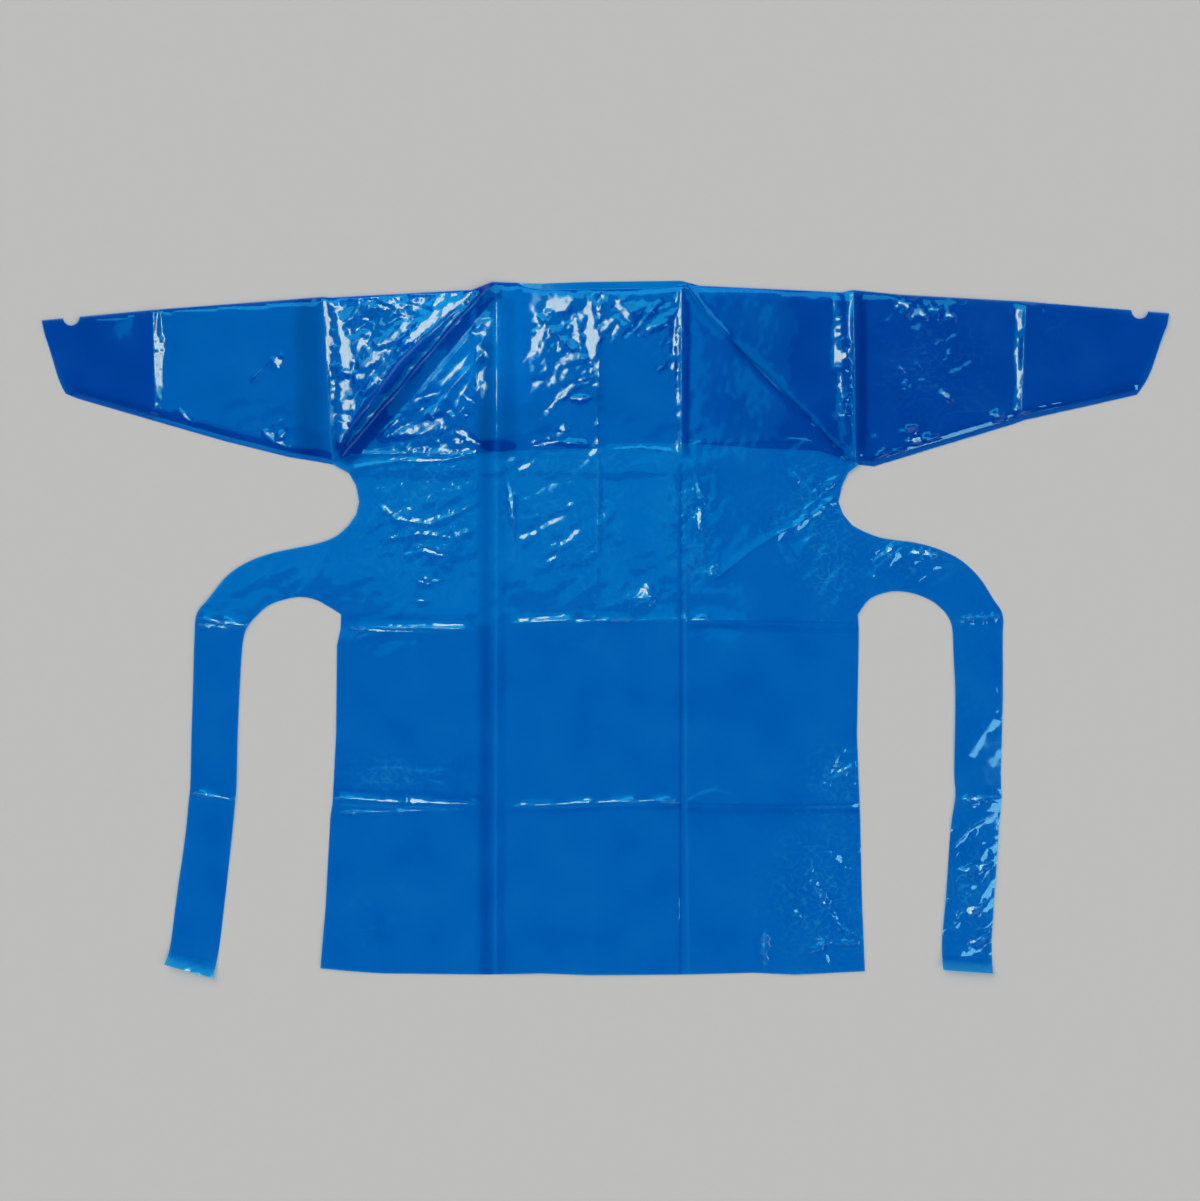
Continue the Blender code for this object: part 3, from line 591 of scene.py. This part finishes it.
# Points and triangles of a sheet: its border, rows along the creases, and an even field between.
# The border's points come first. Edges are the pieces of the outline, in order.
def sheetField(edges, extraRoutes=()):
    border = np.concatenate([resample(edge, gown["edgeStep"])[:-1] for edge in edges])
    lines = []
    for route in [c.route for c in creases] + list(extraRoutes):
        fine = resample(route, gown["creaseStep"])
        lines += [beside(fine, offset) for offset in gown["creaseRows"]]
    for gleam in gleams:
        fine = resample(gleam.route, gown["creaseStep"])
        lines += [beside(fine, share * gleam.reach) for share in gown["gleamRows"]]
    turned = np.roll(border, -1, axis=0) - np.roll(border, 1, axis=0)
    turned /= np.linalg.norm(turned, axis=1)[:, None]
    for offset in gown["edgeRows"]:
        lines.append(border + offset * np.column_stack((-turned[:, 1], turned[:, 0])))
    lines = np.concatenate(lines)
    low, high = border.min(axis=0), border.max(axis=0)
    lines = lines[((lines > low) & (lines < high)).all(axis=1)]
    lines = lines[inside(lines, border)]
    gap = gown["closest"]
    lines = lines[apartFrom(lines, border, gap)]
    cells, rows = {}, []
    for x, y in lines:
        cell = (math.floor(x / gap), math.floor(y / gap))
        near = [cells.get((cell[0] + i, cell[1] + j)) for i in (-1, 0, 1) for j in (-1, 0, 1)]
        if all(p is None or math.dist(p, (x, y)) >= gap for p in near):
            cells[cell] = (x, y)
            rows.append((x, y))
    rows = np.array(rows)
    field = []
    for step, fine in ((gown["step"], False), (gown["crinkleStep"], True)):
        across = np.arange(low[0], high[0], step)
        down = np.arange(low[1], high[1], step * 0.866)  # rows of even triangles
        grid = np.array([(x + (j % 2) * step / 2, y) for j, y in enumerate(down) for x in across])
        grid = grid[inside(grid, border)]
        grid = grid[(crinkleAt(grid, False) > gown["crinkleFrom"]) == fine]
        taken = np.concatenate((border, rows, *field))
        field.append(grid[apartFrom(grid, taken, step * gown["fieldGap"])])
    points = np.concatenate((border, rows, *field))
    loop = [(k, (k + 1) % len(border)) for k in range(len(border))]
    made = delaunay_2d_cdt([Vector(p) for p in points], loop, [], 1, 1e-5)
    laid = np.array([tuple(p) for p in made[0]])
    triangles = np.array(made[2])
    a, b, c = (laid[triangles[:, k]] for k in range(3))
    turn = (b[:, 0] - a[:, 0]) * (c[:, 1] - a[:, 1]) - (b[:, 1] - a[:, 1]) * (c[:, 0] - a[:, 0])
    real = abs(turn) > 1e-6
    triangles, turn = triangles[real], turn[real]
    triangles[turn > 0] = triangles[turn > 0][:, ::-1]  # down is -Y, so this faces them upwards
    origin = np.array([sources[0] if sources else -1 for sources in made[3]])
    return laid, triangles, origin, border


def filmObject(name, places, triangles, **layers):
    mesh = bpy.data.meshes.new(name)
    mesh.from_pydata(places.tolist(), [], triangles.tolist())
    for layer, values in layers.items():
        mesh.attributes.new(layer, "FLOAT", "POINT").data.foreach_set("value", values)
    film = bpy.data.objects.new(name, mesh)
    bpy.context.scene.collection.objects.link(film)
    return film


# Film material
def makeFilm():
    # Polyethylene film, blown and tinted blue right through: glossy and clear enough to show
    # what lies beneath. A layer under another gets painted shade, so that double film shows a
    # shade deeper, and the creases get whitening, painted shade and painted highlights.
    look = {
        "tint": ("#6FDFFF", "#50C4F2", "#9CEBFF"),  # plain; deep for painted shade; pale for painted light and whitening
        "pigment": ("#047AE0", "#0257B4", "#3FA4EC"),
        "cover": 0.2,  # of each face that shows pigment, the rest is see-through
        "roughness": (0.035, 0.07),
        "coatRoughness": 0.03,
        "ior": 1.9,  # above the film's own 1.5, because only the covered share mirrors
        "beneath": (0.66, 0.94),  # painted shade: pigment and tint left to a layer that lies under another
        "mottle": 14.0,  # per metre: clouds of about 70 mm
        "drift": 0.36,  # how much the tone varies with them
        "pucker": 75.0,  # per metre: puckers of about 13 mm
        "relief": (0.0002, 0.00005),  # metres where crinkled, and everywhere
        "lineWidth": 0.03,  # of the painted highlight lines, as a share of a pucker's height
        "paintedHighlightLines": 0.6,
    }
    film = bpy.data.materials.new("polyethyleneFilmBlown")
    film.use_nodes = True
    tree = film.node_tree
    tree.nodes.clear()
    at = addNode(tree, "ShaderNodeTexCoord").outputs["Object"]
    tone, beneath, crinkled = (
        addNode(tree, "ShaderNodeAttribute", attribute_name=name).outputs["Fac"]
        for name in ("tone", "covered", "crinkle")
    )
    cloud, pucker = (
        addNode(tree, "ShaderNodeTexNoise", {"Vector": at, "Scale": look[k], "Detail": 0.0})
        for k in ("mottle", "pucker")
    )
    drift = addNode(
        tree, "ShaderNodeMath",
        {0: cloud, 1: look["drift"], 2: -look["drift"] / 2}, operation="MULTIPLY_ADD",
    )
    toned = addNode(tree, "ShaderNodeMath", {0: tone, 1: drift}, operation="ADD")
    # Where it is crinkled, thin painted highlight lines run along the puckers' flanks
    deep, least = look["relief"]
    relief = addNode(
        tree, "ShaderNodeMath", {0: crinkled, 1: deep, 2: least}, operation="MULTIPLY_ADD"
    )
    flank = addNode(
        tree, "ShaderNodeMath", {0: pucker, 1: 0.5, 2: look["lineWidth"]}, operation="COMPARE"
    )
    marked = addNode(tree, "ShaderNodeMath", {0: flank, 1: crinkled}, operation="MULTIPLY")
    toned = addNode(
        tree, "ShaderNodeMath",
        {0: marked, 1: look["paintedHighlightLines"], 2: toned}, operation="MULTIPLY_ADD",
    )
    # Below 0 the tone mixes to the deep colours, painted shade; above 0 to the pale ones, painted
    # light and whitening. The mottle adds random tone to both.
    deeper, paler = (
        addNode(tree, "ShaderNodeMath", {0: toned, 1: sign}, operation="MULTIPLY", use_clamp=True)
        for sign in (-1.0, 1.0)
    )
    colours = []
    for name, left in zip(("pigment", "tint"), look["beneath"]):
        plain, deep, pale = map(hexLinear, look[name])
        for share, colour in ((deeper, deep), (paler, pale)):
            mix = addNode(
                tree, "ShaderNodeMix", {"Factor": share, 6: plain, 7: colour}, data_type="RGBA"
            )
            plain = mix.outputs[2]
        # A layer under another gets painted shade: its pigment and tint are dimmed.
        dimmed = addNode(
            tree, "ShaderNodeMapRange", {"Value": beneath, "To Min": 1.0, "To Max": left}
        )
        scaled = addNode(
            tree, "ShaderNodeVectorMath", {0: plain, "Scale": dimmed}, operation="SCALE"
        )
        colours.append(scaled)
    bump = addNode(
        tree, "ShaderNodeBump",
        {"Height": pucker, "Strength": 1.0, "Distance": relief},
    )
    smooth, rough = look["roughness"]
    gloss = addNode(
        tree, "ShaderNodeMapRange",
        {"Value": cloud, "From Min": 0.3, "From Max": 0.7, "To Min": smooth, "To Max": rough},
    )
    body = addNode(
        tree, "ShaderNodeBsdfPrincipled",
        {"Base Color": colours[0], "Roughness": gloss, "IOR": look["ior"],
         "Specular IOR Level": 1.0, "Coat Weight": 1.0, "Coat Roughness": look["coatRoughness"],
         "Normal": bump, "Coat Normal": bump},
    )
    through = addNode(tree, "ShaderNodeBsdfTransparent", {"Color": colours[1]})
    both = addNode(tree, "ShaderNodeMixShader", {0: look["cover"], 1: through, 2: body})
    addNode(tree, "ShaderNodeOutputMaterial", {"Surface": both})
    return film


filmMaterial = makeFilm()
print("film material made")


# Geometry Nodes
def newTree(name, sockets):
    tree = bpy.data.node_groups.new(name, "GeometryNodeTree")
    tree.interface.new_socket("Geometry", in_out="OUTPUT", socket_type="NodeSocketGeometry")
    tree.interface.new_socket("Geometry", in_out="INPUT", socket_type="NodeSocketGeometry")
    for socket, (kind, value) in sockets.items():
        made = tree.interface.new_socket(socket, in_out="INPUT", socket_type="NodeSocket" + kind)
        if value is not None:
            made.default_value = value
    return tree, addNode(tree, "NodeGroupInput").outputs


def endTree(tree, geometry, material):
    real = addNode(tree, "GeometryNodeRealizeInstances", {"Geometry": geometry})
    painted = addNode(tree, "GeometryNodeSetMaterial", {"Geometry": real, "Material": material})
    addNode(tree, "NodeGroupOutput", {0: painted})
    return tree


# Crinkles: flats that slope up to sharp ridges between them, over a softer ruck, raised where
# the film is marked for it.
def crinkleTree():
    tree, given = newTree("crinkles", {
        "Height": ("Float", 0.001), "Per Metre": ("Float", 70.0), "Steepness": ("Float", 2.4),
        "Seed": ("Float", 4.0), "Material": ("Material", None),
    })
    flattened = (0.62, 1.25, 1)  # longer along the facets' slant
    waver = 0.012
    marked = addNode(
        tree, "GeometryNodeInputNamedAttribute", {"Name": "crinkle"}, data_type="FLOAT"
    )
    spot = addNode(tree, "GeometryNodeInputPosition")
    turned = addNode(
        tree, "ShaderNodeVectorRotate",
        {"Vector": spot, "Angle": -math.radians(facets["slant"])}, rotation_type="Z_AXIS",
    )
    slanted = addNode(
        tree, "ShaderNodeVectorMath", {0: turned, 1: flattened}, operation="MULTIPLY"
    )
    ruck = addNode(
        tree, "ShaderNodeTexNoise",
        {"Vector": slanted, "W": given["Seed"], "Scale": given["Per Metre"],
         "Detail": 1.5, "Roughness": 0.55, "Distortion": 0.6},
        noise_dimensions="4D",
    )
    drift = addNode(
        tree, "ShaderNodeVectorMath", {0: ruck.outputs["Color"], "Scale": waver}, operation="SCALE"
    )
    bent = addNode(tree, "ShaderNodeVectorMath", {0: slanted, 1: drift}, operation="ADD")
    net = addNode(
        tree, "ShaderNodeTexVoronoi",
        {"Vector": bent, "W": given["Seed"], "Scale": given["Per Metre"],
         "Randomness": 1.0},
        feature="DISTANCE_TO_EDGE", voronoi_dimensions="4D",
    )
    # Each step of the height works on a step before it: operation, first and second input
    values = {"net": net, "ruck": ruck.outputs["Fac"], "marked": marked}
    for made, operation, *inputs in (
        ("away", "MULTIPLY", "net", given["Steepness"]),
        ("slope", "SUBTRACT", 1.0, "away"),
        ("facet", "MAXIMUM", "slope", 0.0),
        ("off", "SUBTRACT", "ruck", 0.5),
        ("size", "ABSOLUTE", "off", 0.0),
        ("folded", "MULTIPLY", "size", 2.2),
        ("bulge", "SUBTRACT", 0.5, "folded"),
        ("peak", "MULTIPLY", "facet", 0.75),
        ("high", "ADD", "peak", "bulge"),
        ("raised", "MULTIPLY", "high", "marked"),
        ("rise", "MULTIPLY", "raised", given["Height"]),
    ):
        inputs = {k: values[v] if isinstance(v, str) else v for k, v in enumerate(inputs)}
        values[made] = addNode(tree, "ShaderNodeMath", inputs, operation=operation)
    lift = addNode(tree, "ShaderNodeCombineXYZ", {"Z": values["rise"]})
    moved = addNode(
        tree, "GeometryNodeSetPosition",
        {"Geometry": given["Geometry"], "Offset": lift},
    )
    return endTree(tree, moved, given["Material"])


# A bead along a weld: a thin round rib that follows the piece's own edges.
def beadTree():
    tree, given = newTree("weldBead", {
        "Radius": ("Float", 0.0004), "Step": ("Float", 0.006), "Material": ("Material", None),
    })
    path = addNode(tree, "GeometryNodeMeshToCurve", {"Mesh": given["Geometry"]})
    even = addNode(
        tree, "GeometryNodeResampleCurve",
        {"Curve": path, "Length": given["Step"]}, mode="LENGTH",
    )
    ring = addNode(
        tree, "GeometryNodeCurvePrimitiveCircle", {"Resolution": 8, "Radius": given["Radius"]}
    )
    rib = addNode(
        tree, "GeometryNodeCurveToMesh",
        {"Curve": even, "Profile Curve": ring, "Fill Caps": True},
    )
    return endTree(tree, rib, given["Material"])


trees = {"crinkles": crinkleTree(), "bead": beadTree()}
print("node trees built")


def addTree(piece, tree, values):
    modifier = piece.modifiers.new(tree.name, "NODES")
    modifier.node_group = tree
    for item in tree.interface.items_tree:
        if item.in_out == "INPUT" and item.name in values:
            modifier[item.identifier] = values[item.name]


# The evaluated mesh takes the modifiers' place.
def applyAll(piece):
    graph = bpy.context.evaluated_depsgraph_get()
    made = bpy.data.meshes.new_from_object(piece.evaluated_get(graph))
    piece.modifiers.clear()
    old, piece.data = piece.data, made
    bpy.data.meshes.remove(old)
    made.name = piece.name
    made.shade_smooth()
    made.set_sharp_from_angle(angle=math.radians(gown["sharpAngle"]))


def finishFilm(film):
    values = {"Height": gown["crinkleHeight"] * 0.001, "Material": filmMaterial}
    addTree(film, trees["crinkles"], values)
    wall = film.modifiers.new("filmWall", "SOLIDIFY")
    wall.thickness = gown["filmWall"] * 0.001
    wall.offset = 0
    applyAll(film)
    print(film.name, len(film.data.polygons), "faces")
    return film


# Front and back yoke
def neckDipAt(across):
    middle = sum(neckEnds) / 2
    off = np.clip((np.asarray(across) - middle) / (neckEnds[1] - middle), -1, 1)
    return neckDip * np.sqrt(1 - off**4)


def frontTop(across):
    return readAt(shoulderLine, across) + neckDipAt(across)


def sideRoute(side, start, end):
    marks = [start] + [d for d in frontSides[:, 0] if start < d < end] + [end]
    return [(sideAt(d, side), d) for d in marks]


def upperLevel(down):
    share = (down - gown["yokeCleared"]) / (gown["floorReached"] - gown["yokeCleared"])
    return gown["layer"] * (1 - smoothShare(share))


# Borders of a sheet of the body, from the left shoulder round by the right side.
def bodyEdges(topAt, ends, footAt, count):
    across = np.linspace(*shoulderEnds, 200)
    top = np.column_stack((across, topAt(across)))
    across = np.linspace(*ends, count)
    foot = np.column_stack((across, footAt(across)))
    right = sideRoute(1, top[-1, 1], foot[0, 1])
    left = sideRoute(-1, top[0, 1], foot[-1, 1])[::-1]
    right[0], right[-1], left[0], left[-1] = top[-1], foot[0], foot[-1], top[0]
    return top, right, foot, left


def makeFront():
    edges = bodyEdges(frontTop, (448.5, -493), lambda x: gown["hem"] + readAt(hemLine, x), 200)
    spots, triangles, *_ = sheetField(edges)
    fromTop = np.clip((spots[:, 1] - frontTop(spots[:, 0])) / gown["rollDepth"], 0, 1)
    rounded = 0.3 + 0.7 * np.sqrt(1 - (1 - fromTop) ** 2)
    z = upperLevel(spots[:, 1]) + filmRise(spots) * rounded
    film = filmObject(
        "frontFilm", toWorld(spots, z), triangles,
        tone=paintedLightAndWhiteningAt(spots), crinkle=crinkleAt(spots), covered=np.zeros(len(spots)),
    )
    return finishFilm(film)


def makeYoke():
    edges = bodyEdges(
        lambda x: readAt(shoulderLine, x), (438, -471), lambda x: readAt(yokeEdge, x), 160
    )
    neck = np.linspace(*neckEnds, 60)
    neckRoute = np.column_stack((neck, frontTop(neck)))
    spots, triangles, *_ = sheetField(edges, [neckRoute])
    hidden = smoothShare((spots[:, 1] - frontTop(spots[:, 0])) / gown["yokeHidden"])
    fromEdge = spots[:, 1] - readAt(shoulderLine, spots[:, 0])
    rise = np.clip(fromEdge / gown["yokeRise"], 0, 1) * hidden
    amount = gown["yokeCrinkle"] * crinkleAt(spots)
    # The yoke gets painted shade wherever the front hides it.
    film = filmObject(
        "yokeFilm", toWorld(spots, gown["floor"] + rise), triangles,
        tone=np.zeros(len(spots)), crinkle=amount, covered=hidden,
    )
    return finishFilm(film)


# Sleeves
leftSleeve = {
    "name": "Left", "side": -1,
    "fold": ((488.2, 26.1), (785, 48.5), (975, 66.5)),
    "weld": ((471, 316), (496, 311), (546, 303), (659, 275), (779, 240.5), (913, 201.5)),
    "cuff": ((0, 975), (0.2, 969), (0.94, 929), (1, 913)),
}
rightSleeve = {
    "name": "Right", "side": 1,
    "fold": ((429, 14), (510, 22), (728, 34), (975, 54)),
    "weld": ((438, 316), (464, 319), (590, 281), (703, 247), (724, 239), (744, 235), (919, 195)),
    "cuff": ((0, 975), (0.15, 971), (1, 919)),
}
sleeveCut = {
    "flange": 8.6,  # welded edge
    "step": 6,  # how far from it the sleeve reaches its full height
    "thumb": (924.0, 14.5, 14.0),  # across, half width, depth
    "calm": 8,  # and its creases and crinkles too
    "flangeRise": (0.17, 0.5, 0.35),  # of the weld's and the fold's edge, and of the front layer
    "backCuff": 7.0,  # the back layer reaches this far past the front one at the cuff
    "backCuffLength": 40,
    "tones": (0.55, 0.5, -0.35),  # of the flange, partly its fused film and partly painted light; a painted highlight along the fold; and a band of painted shade beside the flange
    "shadeBand": (15, 6),  # from the weld, and its width
    "pressed": 0.3,  # how much lower than elsewhere the front layer lies on the back one
    "beadStep": 6,
}


everywhere = 1e4


def offFrom(spots, route):
    return nearRoute(spots, route, everywhere)[1]


def makeSleeve(cut):
    side = cut["side"]
    fold, weld, cuff = (np.array(cut[k], float) for k in ("fold", "weld", "cuff"))
    thumb, half, deep = sleeveCut["thumb"]
    notchDown = readAt(fold, thumb)
    inner = [p for p in fold if p[0] < thumb - half] + [(thumb - half, readAt(fold, thumb - half))]
    outer = [(thumb + half, readAt(fold, thumb + half))] + [p for p in fold if p[0] > thumb + half]
    turns = np.linspace(math.pi, 0, 16)
    notch = np.column_stack((thumb + half * np.cos(turns), notchDown + deep * np.sin(turns)))
    notch[0], notch[-1] = inner[-1], outer[0]
    end = []
    for share, across in cuff:
        up, low = readAt(fold, across), readAt(weld, across)
        end.append((across, up + (low - up) * share))
    low = [tuple(end[-1])] + [tuple(p) for p in weld[::-1] if p[0] < end[-1][0]]
    armhole = [(side * x, d) for x, d in sideRoute(side, fold[0, 1], weld[0, 1])][::-1]
    armhole[0], armhole[-1] = tuple(weld[0]), tuple(fold[0])
    edges = [np.array(e, float) * (side, 1) for e in (inner, notch, outer, end, low, armhole)]
    weldRoute = np.array(low, float) * (side, 1)
    inward = beside(resample(weldRoute, sleeveCut["beadStep"]), sleeveCut["flange"] * side)
    spots, triangles, origin, border = sheetField(edges, [inward])

    # Fold and weld hold the two layers together, so their points are shared.
    joined = np.zeros(len(spots), bool)
    for edge in (edges[0], edges[2], edges[4]):
        joined |= (offFrom(spots, edge) < 1e-3) & (origin >= 0) & (origin < len(border))
    offWeld = offFrom(spots, weldRoute)
    offFold = np.minimum(offFrom(spots, edges[0]), offFrom(spots, edges[2]))
    _, offCuff, _, alongCuff, cuffLength = nearRoute(spots, edges[3], everywhere)

    floorZ = gown["floor"]
    weldRise, foldRise, frontRise = sleeveCut["flangeRise"]
    fromFlange = offWeld - sleeveCut["flange"]
    full = smoothShare(fromFlange / sleeveCut["step"])
    calm = smoothShare(fromFlange / sleeveCut["calm"])
    rounded = np.sqrt(1 - (1 - np.clip(offFold / gown["rollDepth"], 0, 1)) ** 2)
    rise = gown["layer"] - sleeveCut["pressed"] + filmRise(spots) * calm
    upper = floorZ + frontRise + full * rise * rounded
    upper[joined] = floorZ + weldRise
    upper[joined & (offFold < 1e-3)] = floorZ + foldRise

    lowerSpots = spots.copy()
    share = alongCuff / cuffLength
    reach = sleeveCut["backCuff"] * np.sin(math.pi * np.clip(share, 0, 1) ** 2.2)
    lowerSpots[:, 0] += side * reach * smoothShare(1 - offCuff / sleeveCut["backCuffLength"])
    lowerSpots[joined] = spots[joined]
    count = len(spots)
    lowerIndex = np.arange(count) + count
    lowerIndex[joined] = np.flatnonzero(joined)
    allTriangles = np.concatenate((triangles, lowerIndex[triangles][:, ::-1]))
    places = np.concatenate((toWorld(spots, upper), toWorld(lowerSpots, np.full(count, floorZ))))
    # The flange is lighter, partly for its fused film and partly as painted light; the fold's edge
    # gets a painted highlight, and a band beside the flange gets painted shade.
    flange, foldHighlight, shadeBand = sleeveCut["tones"]
    place, width = sleeveCut["shadeBand"]
    tone = paintedLightAndWhiteningAt(spots) + flange * (1 - smoothShare((fromFlange + 2) / 3))
    tone += foldHighlight * np.exp(-((offFold / gown["rollDepth"]) ** 2))
    tone += shadeBand * np.exp(-(((offWeld - place) / width) ** 2))
    tone = np.clip(tone, -1, 1)
    # Painted shade on the back layer wherever the front layer lies over it.
    covered = np.where(joined, 0.5, smoothShare(offCuff / 3))
    amount = crinkleAt(spots) * calm * np.clip(offFold / 6, 0, 1)
    used = np.zeros(2 * count, bool)
    used[allTriangles] = True
    number = np.cumsum(used) - 1
    film = filmObject(
        "sleeveFilm" + cut["name"], places[used], number[allTriangles],
        tone=np.concatenate((tone, 0 * tone))[used],
        crinkle=np.concatenate((amount, 0.1 * amount * ~joined))[used],
        covered=np.concatenate((0 * covered, covered))[used],
    )
    finishFilm(film)

    run = resample(inward, sleeveCut["beadStep"])
    run = run[inside(run, border)]
    path = bpy.data.meshes.new("weldBead" + cut["name"])
    path.from_pydata(
        toWorld(run, np.full(len(run), floorZ + 0.55)).tolist(),
        [(k, k + 1) for k in range(len(run) - 1)], [],
    )
    bead = bpy.data.objects.new(path.name, path)
    bpy.context.scene.collection.objects.link(bead)
    addTree(bead, trees["bead"], {"Radius": 0.00035, "Material": filmMaterial})
    applyAll(bead)
    return film, bead


# Waist ties: outer across, outer down, inner across, inner down, from the body to the end
leftTie = np.array((
    (466, 440, 478, 562), (500, 453, 503, 549), (540, 461, 530, 545), (580, 470, 558, 550),
    (620, 485, 583, 560), (655, 509, 602, 576), (685, 546, 617, 593), (707, 575, 625, 611),
    (711, 620, 629, 640), (713, 690, 632, 690), (716, 780, 636, 780), (718, 866, 638, 868),
    (721, 900, 641, 905), (727, 960, 646, 958), (742, 1066, 658, 1066), (753, 1150, 668, 1150),
    (762, 1180, 678, 1203),
), float)
rightTie = np.array((
    (448, 432, 453, 552), (475, 442, 472, 541), (505, 447, 498, 535), (535, 451, 525, 537),
    (570, 460, 551, 545), (610, 478, 572, 557), (645, 509, 590, 575), (672, 550, 599, 595),
    (687, 576, 601, 618), (687, 620, 602, 647), (687, 721, 605, 721), (684, 850, 603, 845),
    (685, 893, 605, 888), (680, 950, 597, 946), (672, 1070, 589, 1060), (668, 1140, 582, 1140),
    (669, 1195, 583, 1189),
), float)
tieCut = {
    "smooth": 5,  # rows made of each
    "lift": 7.0,  # how far the end rises off the floor
    "liftLength": 46.0,
    "endBand": 15.0,
    "tones": (0.5, -0.3),  # of that band, a painted highlight on the lifted end, and of the painted shade line beyond it
    "line": (5, 4),  # from the band, and its width
}


def smoothThrough(rows, steps):
    made = []
    for k in range(len(rows) - 1):
        before, after = rows[max(k - 1, 0)], rows[min(k + 2, len(rows) - 1)]
        a, b = rows[k], rows[k + 1]
        for t in np.arange(steps) / steps:
            bend = t * (1 - t) * ((1 - t) * (b - before) - t * (after - a)) / 2
            made.append(a + (b - a) * t * t * (3 - 2 * t) + bend)
    return np.array([*made, rows[-1]])


def makeTie(name, side, sections):
    root = [side * sideAt(gown["tieTop"], side), gown["tieTop"]]
    root += [side * sideAt(gown["tieFoot"], side), gown["tieFoot"]]
    rows = smoothThrough(np.vstack((root, sections)), tieCut["smooth"])
    outer, inner = rows[:, :2] * (side, 1), rows[:, 2:] * (side, 1)
    attached = np.array(sideRoute(side, gown["tieTop"], gown["tieFoot"]))[::-1]
    end = np.array((outer[-1], inner[-1]))
    spots, triangles, _, _ = sheetField((outer, end, inner[::-1], attached))
    slope = (end[1, 1] - end[0, 1]) / (end[1, 0] - end[0, 0])
    toEnd = end[0, 1] + slope * (spots[:, 0] - end[0, 0]) - spots[:, 1]
    lift = tieCut["lift"] * np.clip(1 - toEnd / tieCut["liftLength"], 0, 1) ** 2
    fromBand = toEnd - tieCut["endBand"]
    # A painted highlight on the lifted end, and a painted shade line just inside it.
    pale, endShade = tieCut["tones"]
    tone = paintedLightAndWhiteningAt(spots) + pale * (1 - smoothShare((fromBand + 2) / 3))
    place, width = tieCut["line"]
    tone += endShade * np.exp(-(((fromBand - place) / width) ** 2))
    film = filmObject(
        "tieFilm" + name, toWorld(spots, filmRise(spots) + lift), triangles,
        tone=np.clip(tone, -1, 1), crinkle=crinkleAt(spots), covered=np.zeros(len(spots)),
    )
    return finishFilm(film)


front = makeFront()
yoke = makeYoke()
leftFilm, leftBead = makeSleeve(leftSleeve)
rightFilm, rightBead = makeSleeve(rightSleeve)
leftTieFilm = makeTie("Left", -1, leftTie)
rightTieFilm = makeTie("Right", 1, rightTie)
print("films laid")


# Studio
def makeStudio():
    scene = bpy.context.scene
    paper = bpy.data.materials.new("paperBackdropMatt")
    paper.use_nodes = True
    skin = paper.node_tree.nodes["Principled BSDF"]
    skin.inputs["Base Color"].default_value = hexLinear(studio["floor"])
    skin.inputs["Roughness"].default_value = 0.95
    skin.inputs["Specular IOR Level"].default_value = 0.1
    mesh = bpy.data.meshes.new("studioFloor")
    far, floorZ = studio["floorReach"], studio["floorHeight"]
    corners = ((-far, -far), (far, -far), (far, far), (-far, far))
    mesh.from_pydata([(*corner, floorZ) for corner in corners], [], [(0, 1, 2, 3)])
    mesh.materials.append(paper)
    floor = bpy.data.objects.new("studioFloor", mesh)
    scene.collection.objects.link(floor)

    def addLight(name, kind, towards, energy, **settings):
        lamp = bpy.data.lights.new(name, kind)
        lamp.energy = energy
        for key, value in settings.items():
            setattr(lamp, key, value)
        holder = bpy.data.objects.new(name, lamp)
        holder.rotation_mode = "QUATERNION"
        holder.rotation_quaternion = Vector(towards).to_track_quat("-Z", "Y")
        holder.visible_camera = False
        scene.collection.objects.link(holder)
        return holder

    for name, (place, sides, colour, glow) in studio["lights"].items():
        wide, long = sides
        lamp = addLight(
            name, "AREA", (0, 0, -1), math.pi * wide * long * glow,
            shape="RECTANGLE", size=wide, size_y=long, color=hexLinear(colour)[:3],
        )
        lamp.location = place
        lamp.visible_diffuse = False
    for name in ("windowSun", "fillSun"):
        height, turn, strength, angle = studio[name]
        height, turn = math.radians(height), math.radians(turn)
        flat = -math.cos(height)
        towards = (flat * math.cos(turn), flat * math.sin(turn), -math.sin(height))
        lamp = addLight(name, "SUN", towards, strength, angle=math.radians(angle))
        lamp.visible_glossy = False

    world = bpy.data.worlds.new("studioWalls")
    world.use_nodes = True
    tree = world.node_tree
    tree.nodes.clear()
    way = addNode(tree, "ShaderNodeTexCoord").outputs["Generated"]
    up = addNode(tree, "ShaderNodeSeparateXYZ", {0: way}).outputs["Z"]
    # Pale walls and a dark ceiling, so that the film mirrors nothing pale straight up
    walls = addNode(
        tree, "ShaderNodeMapRange",
        {"Value": up, "From Min": 0.35, "From Max": 0.62,
         "To Min": studio["horizon"], "To Max": 0.0},
    )
    sky = addNode(
        tree, "ShaderNodeBackground",
        {"Color": hexLinear(studio["wall"]), "Strength": walls},
    )
    addNode(tree, "ShaderNodeOutputWorld", {"Surface": sky})
    scene.world = world

    lens = bpy.data.cameras.new("camera")
    lens.sensor_fit = "HORIZONTAL"
    lens.sensor_width = studio["sensor"]
    lens.lens = studio["sensor"] * studio["camera"][2] / studio["frameWidth"]
    camera = bpy.data.objects.new("camera", lens)
    camera.location = studio["camera"]
    scene.collection.objects.link(camera)
    scene.camera = camera
    scene.view_settings.view_transform = "Standard"
    print("studio made")


makeStudio()

# What each piece is and stands for
laid = (
    (front, "front_panel", (0.942, 1.198), 1.07, [yoke]),
    (yoke, "back_yoke", (0.918, 0.325), 0.256, []),
    (leftFilm, "sleeve_left", (0.58, 0.504), 0.2, []),
    (rightFilm, "sleeve_right", (0.61, 0.546), 0.225, []),
    (leftTieFilm, "tie_left", (0.305, 0.782), 0.0725, []),
    (rightTieFilm, "tie_right", (0.26, 0.774), 0.0735, []),
)
beads = {"sleeve_left": [leftBead], "sleeve_right": [rightBead]}
for film, node, flat, area, under in laid:
    for piece in [film, *beads.get(node, [])]:
        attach(piece, "root")
    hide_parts(node)

bpy.context.view_layer.update()
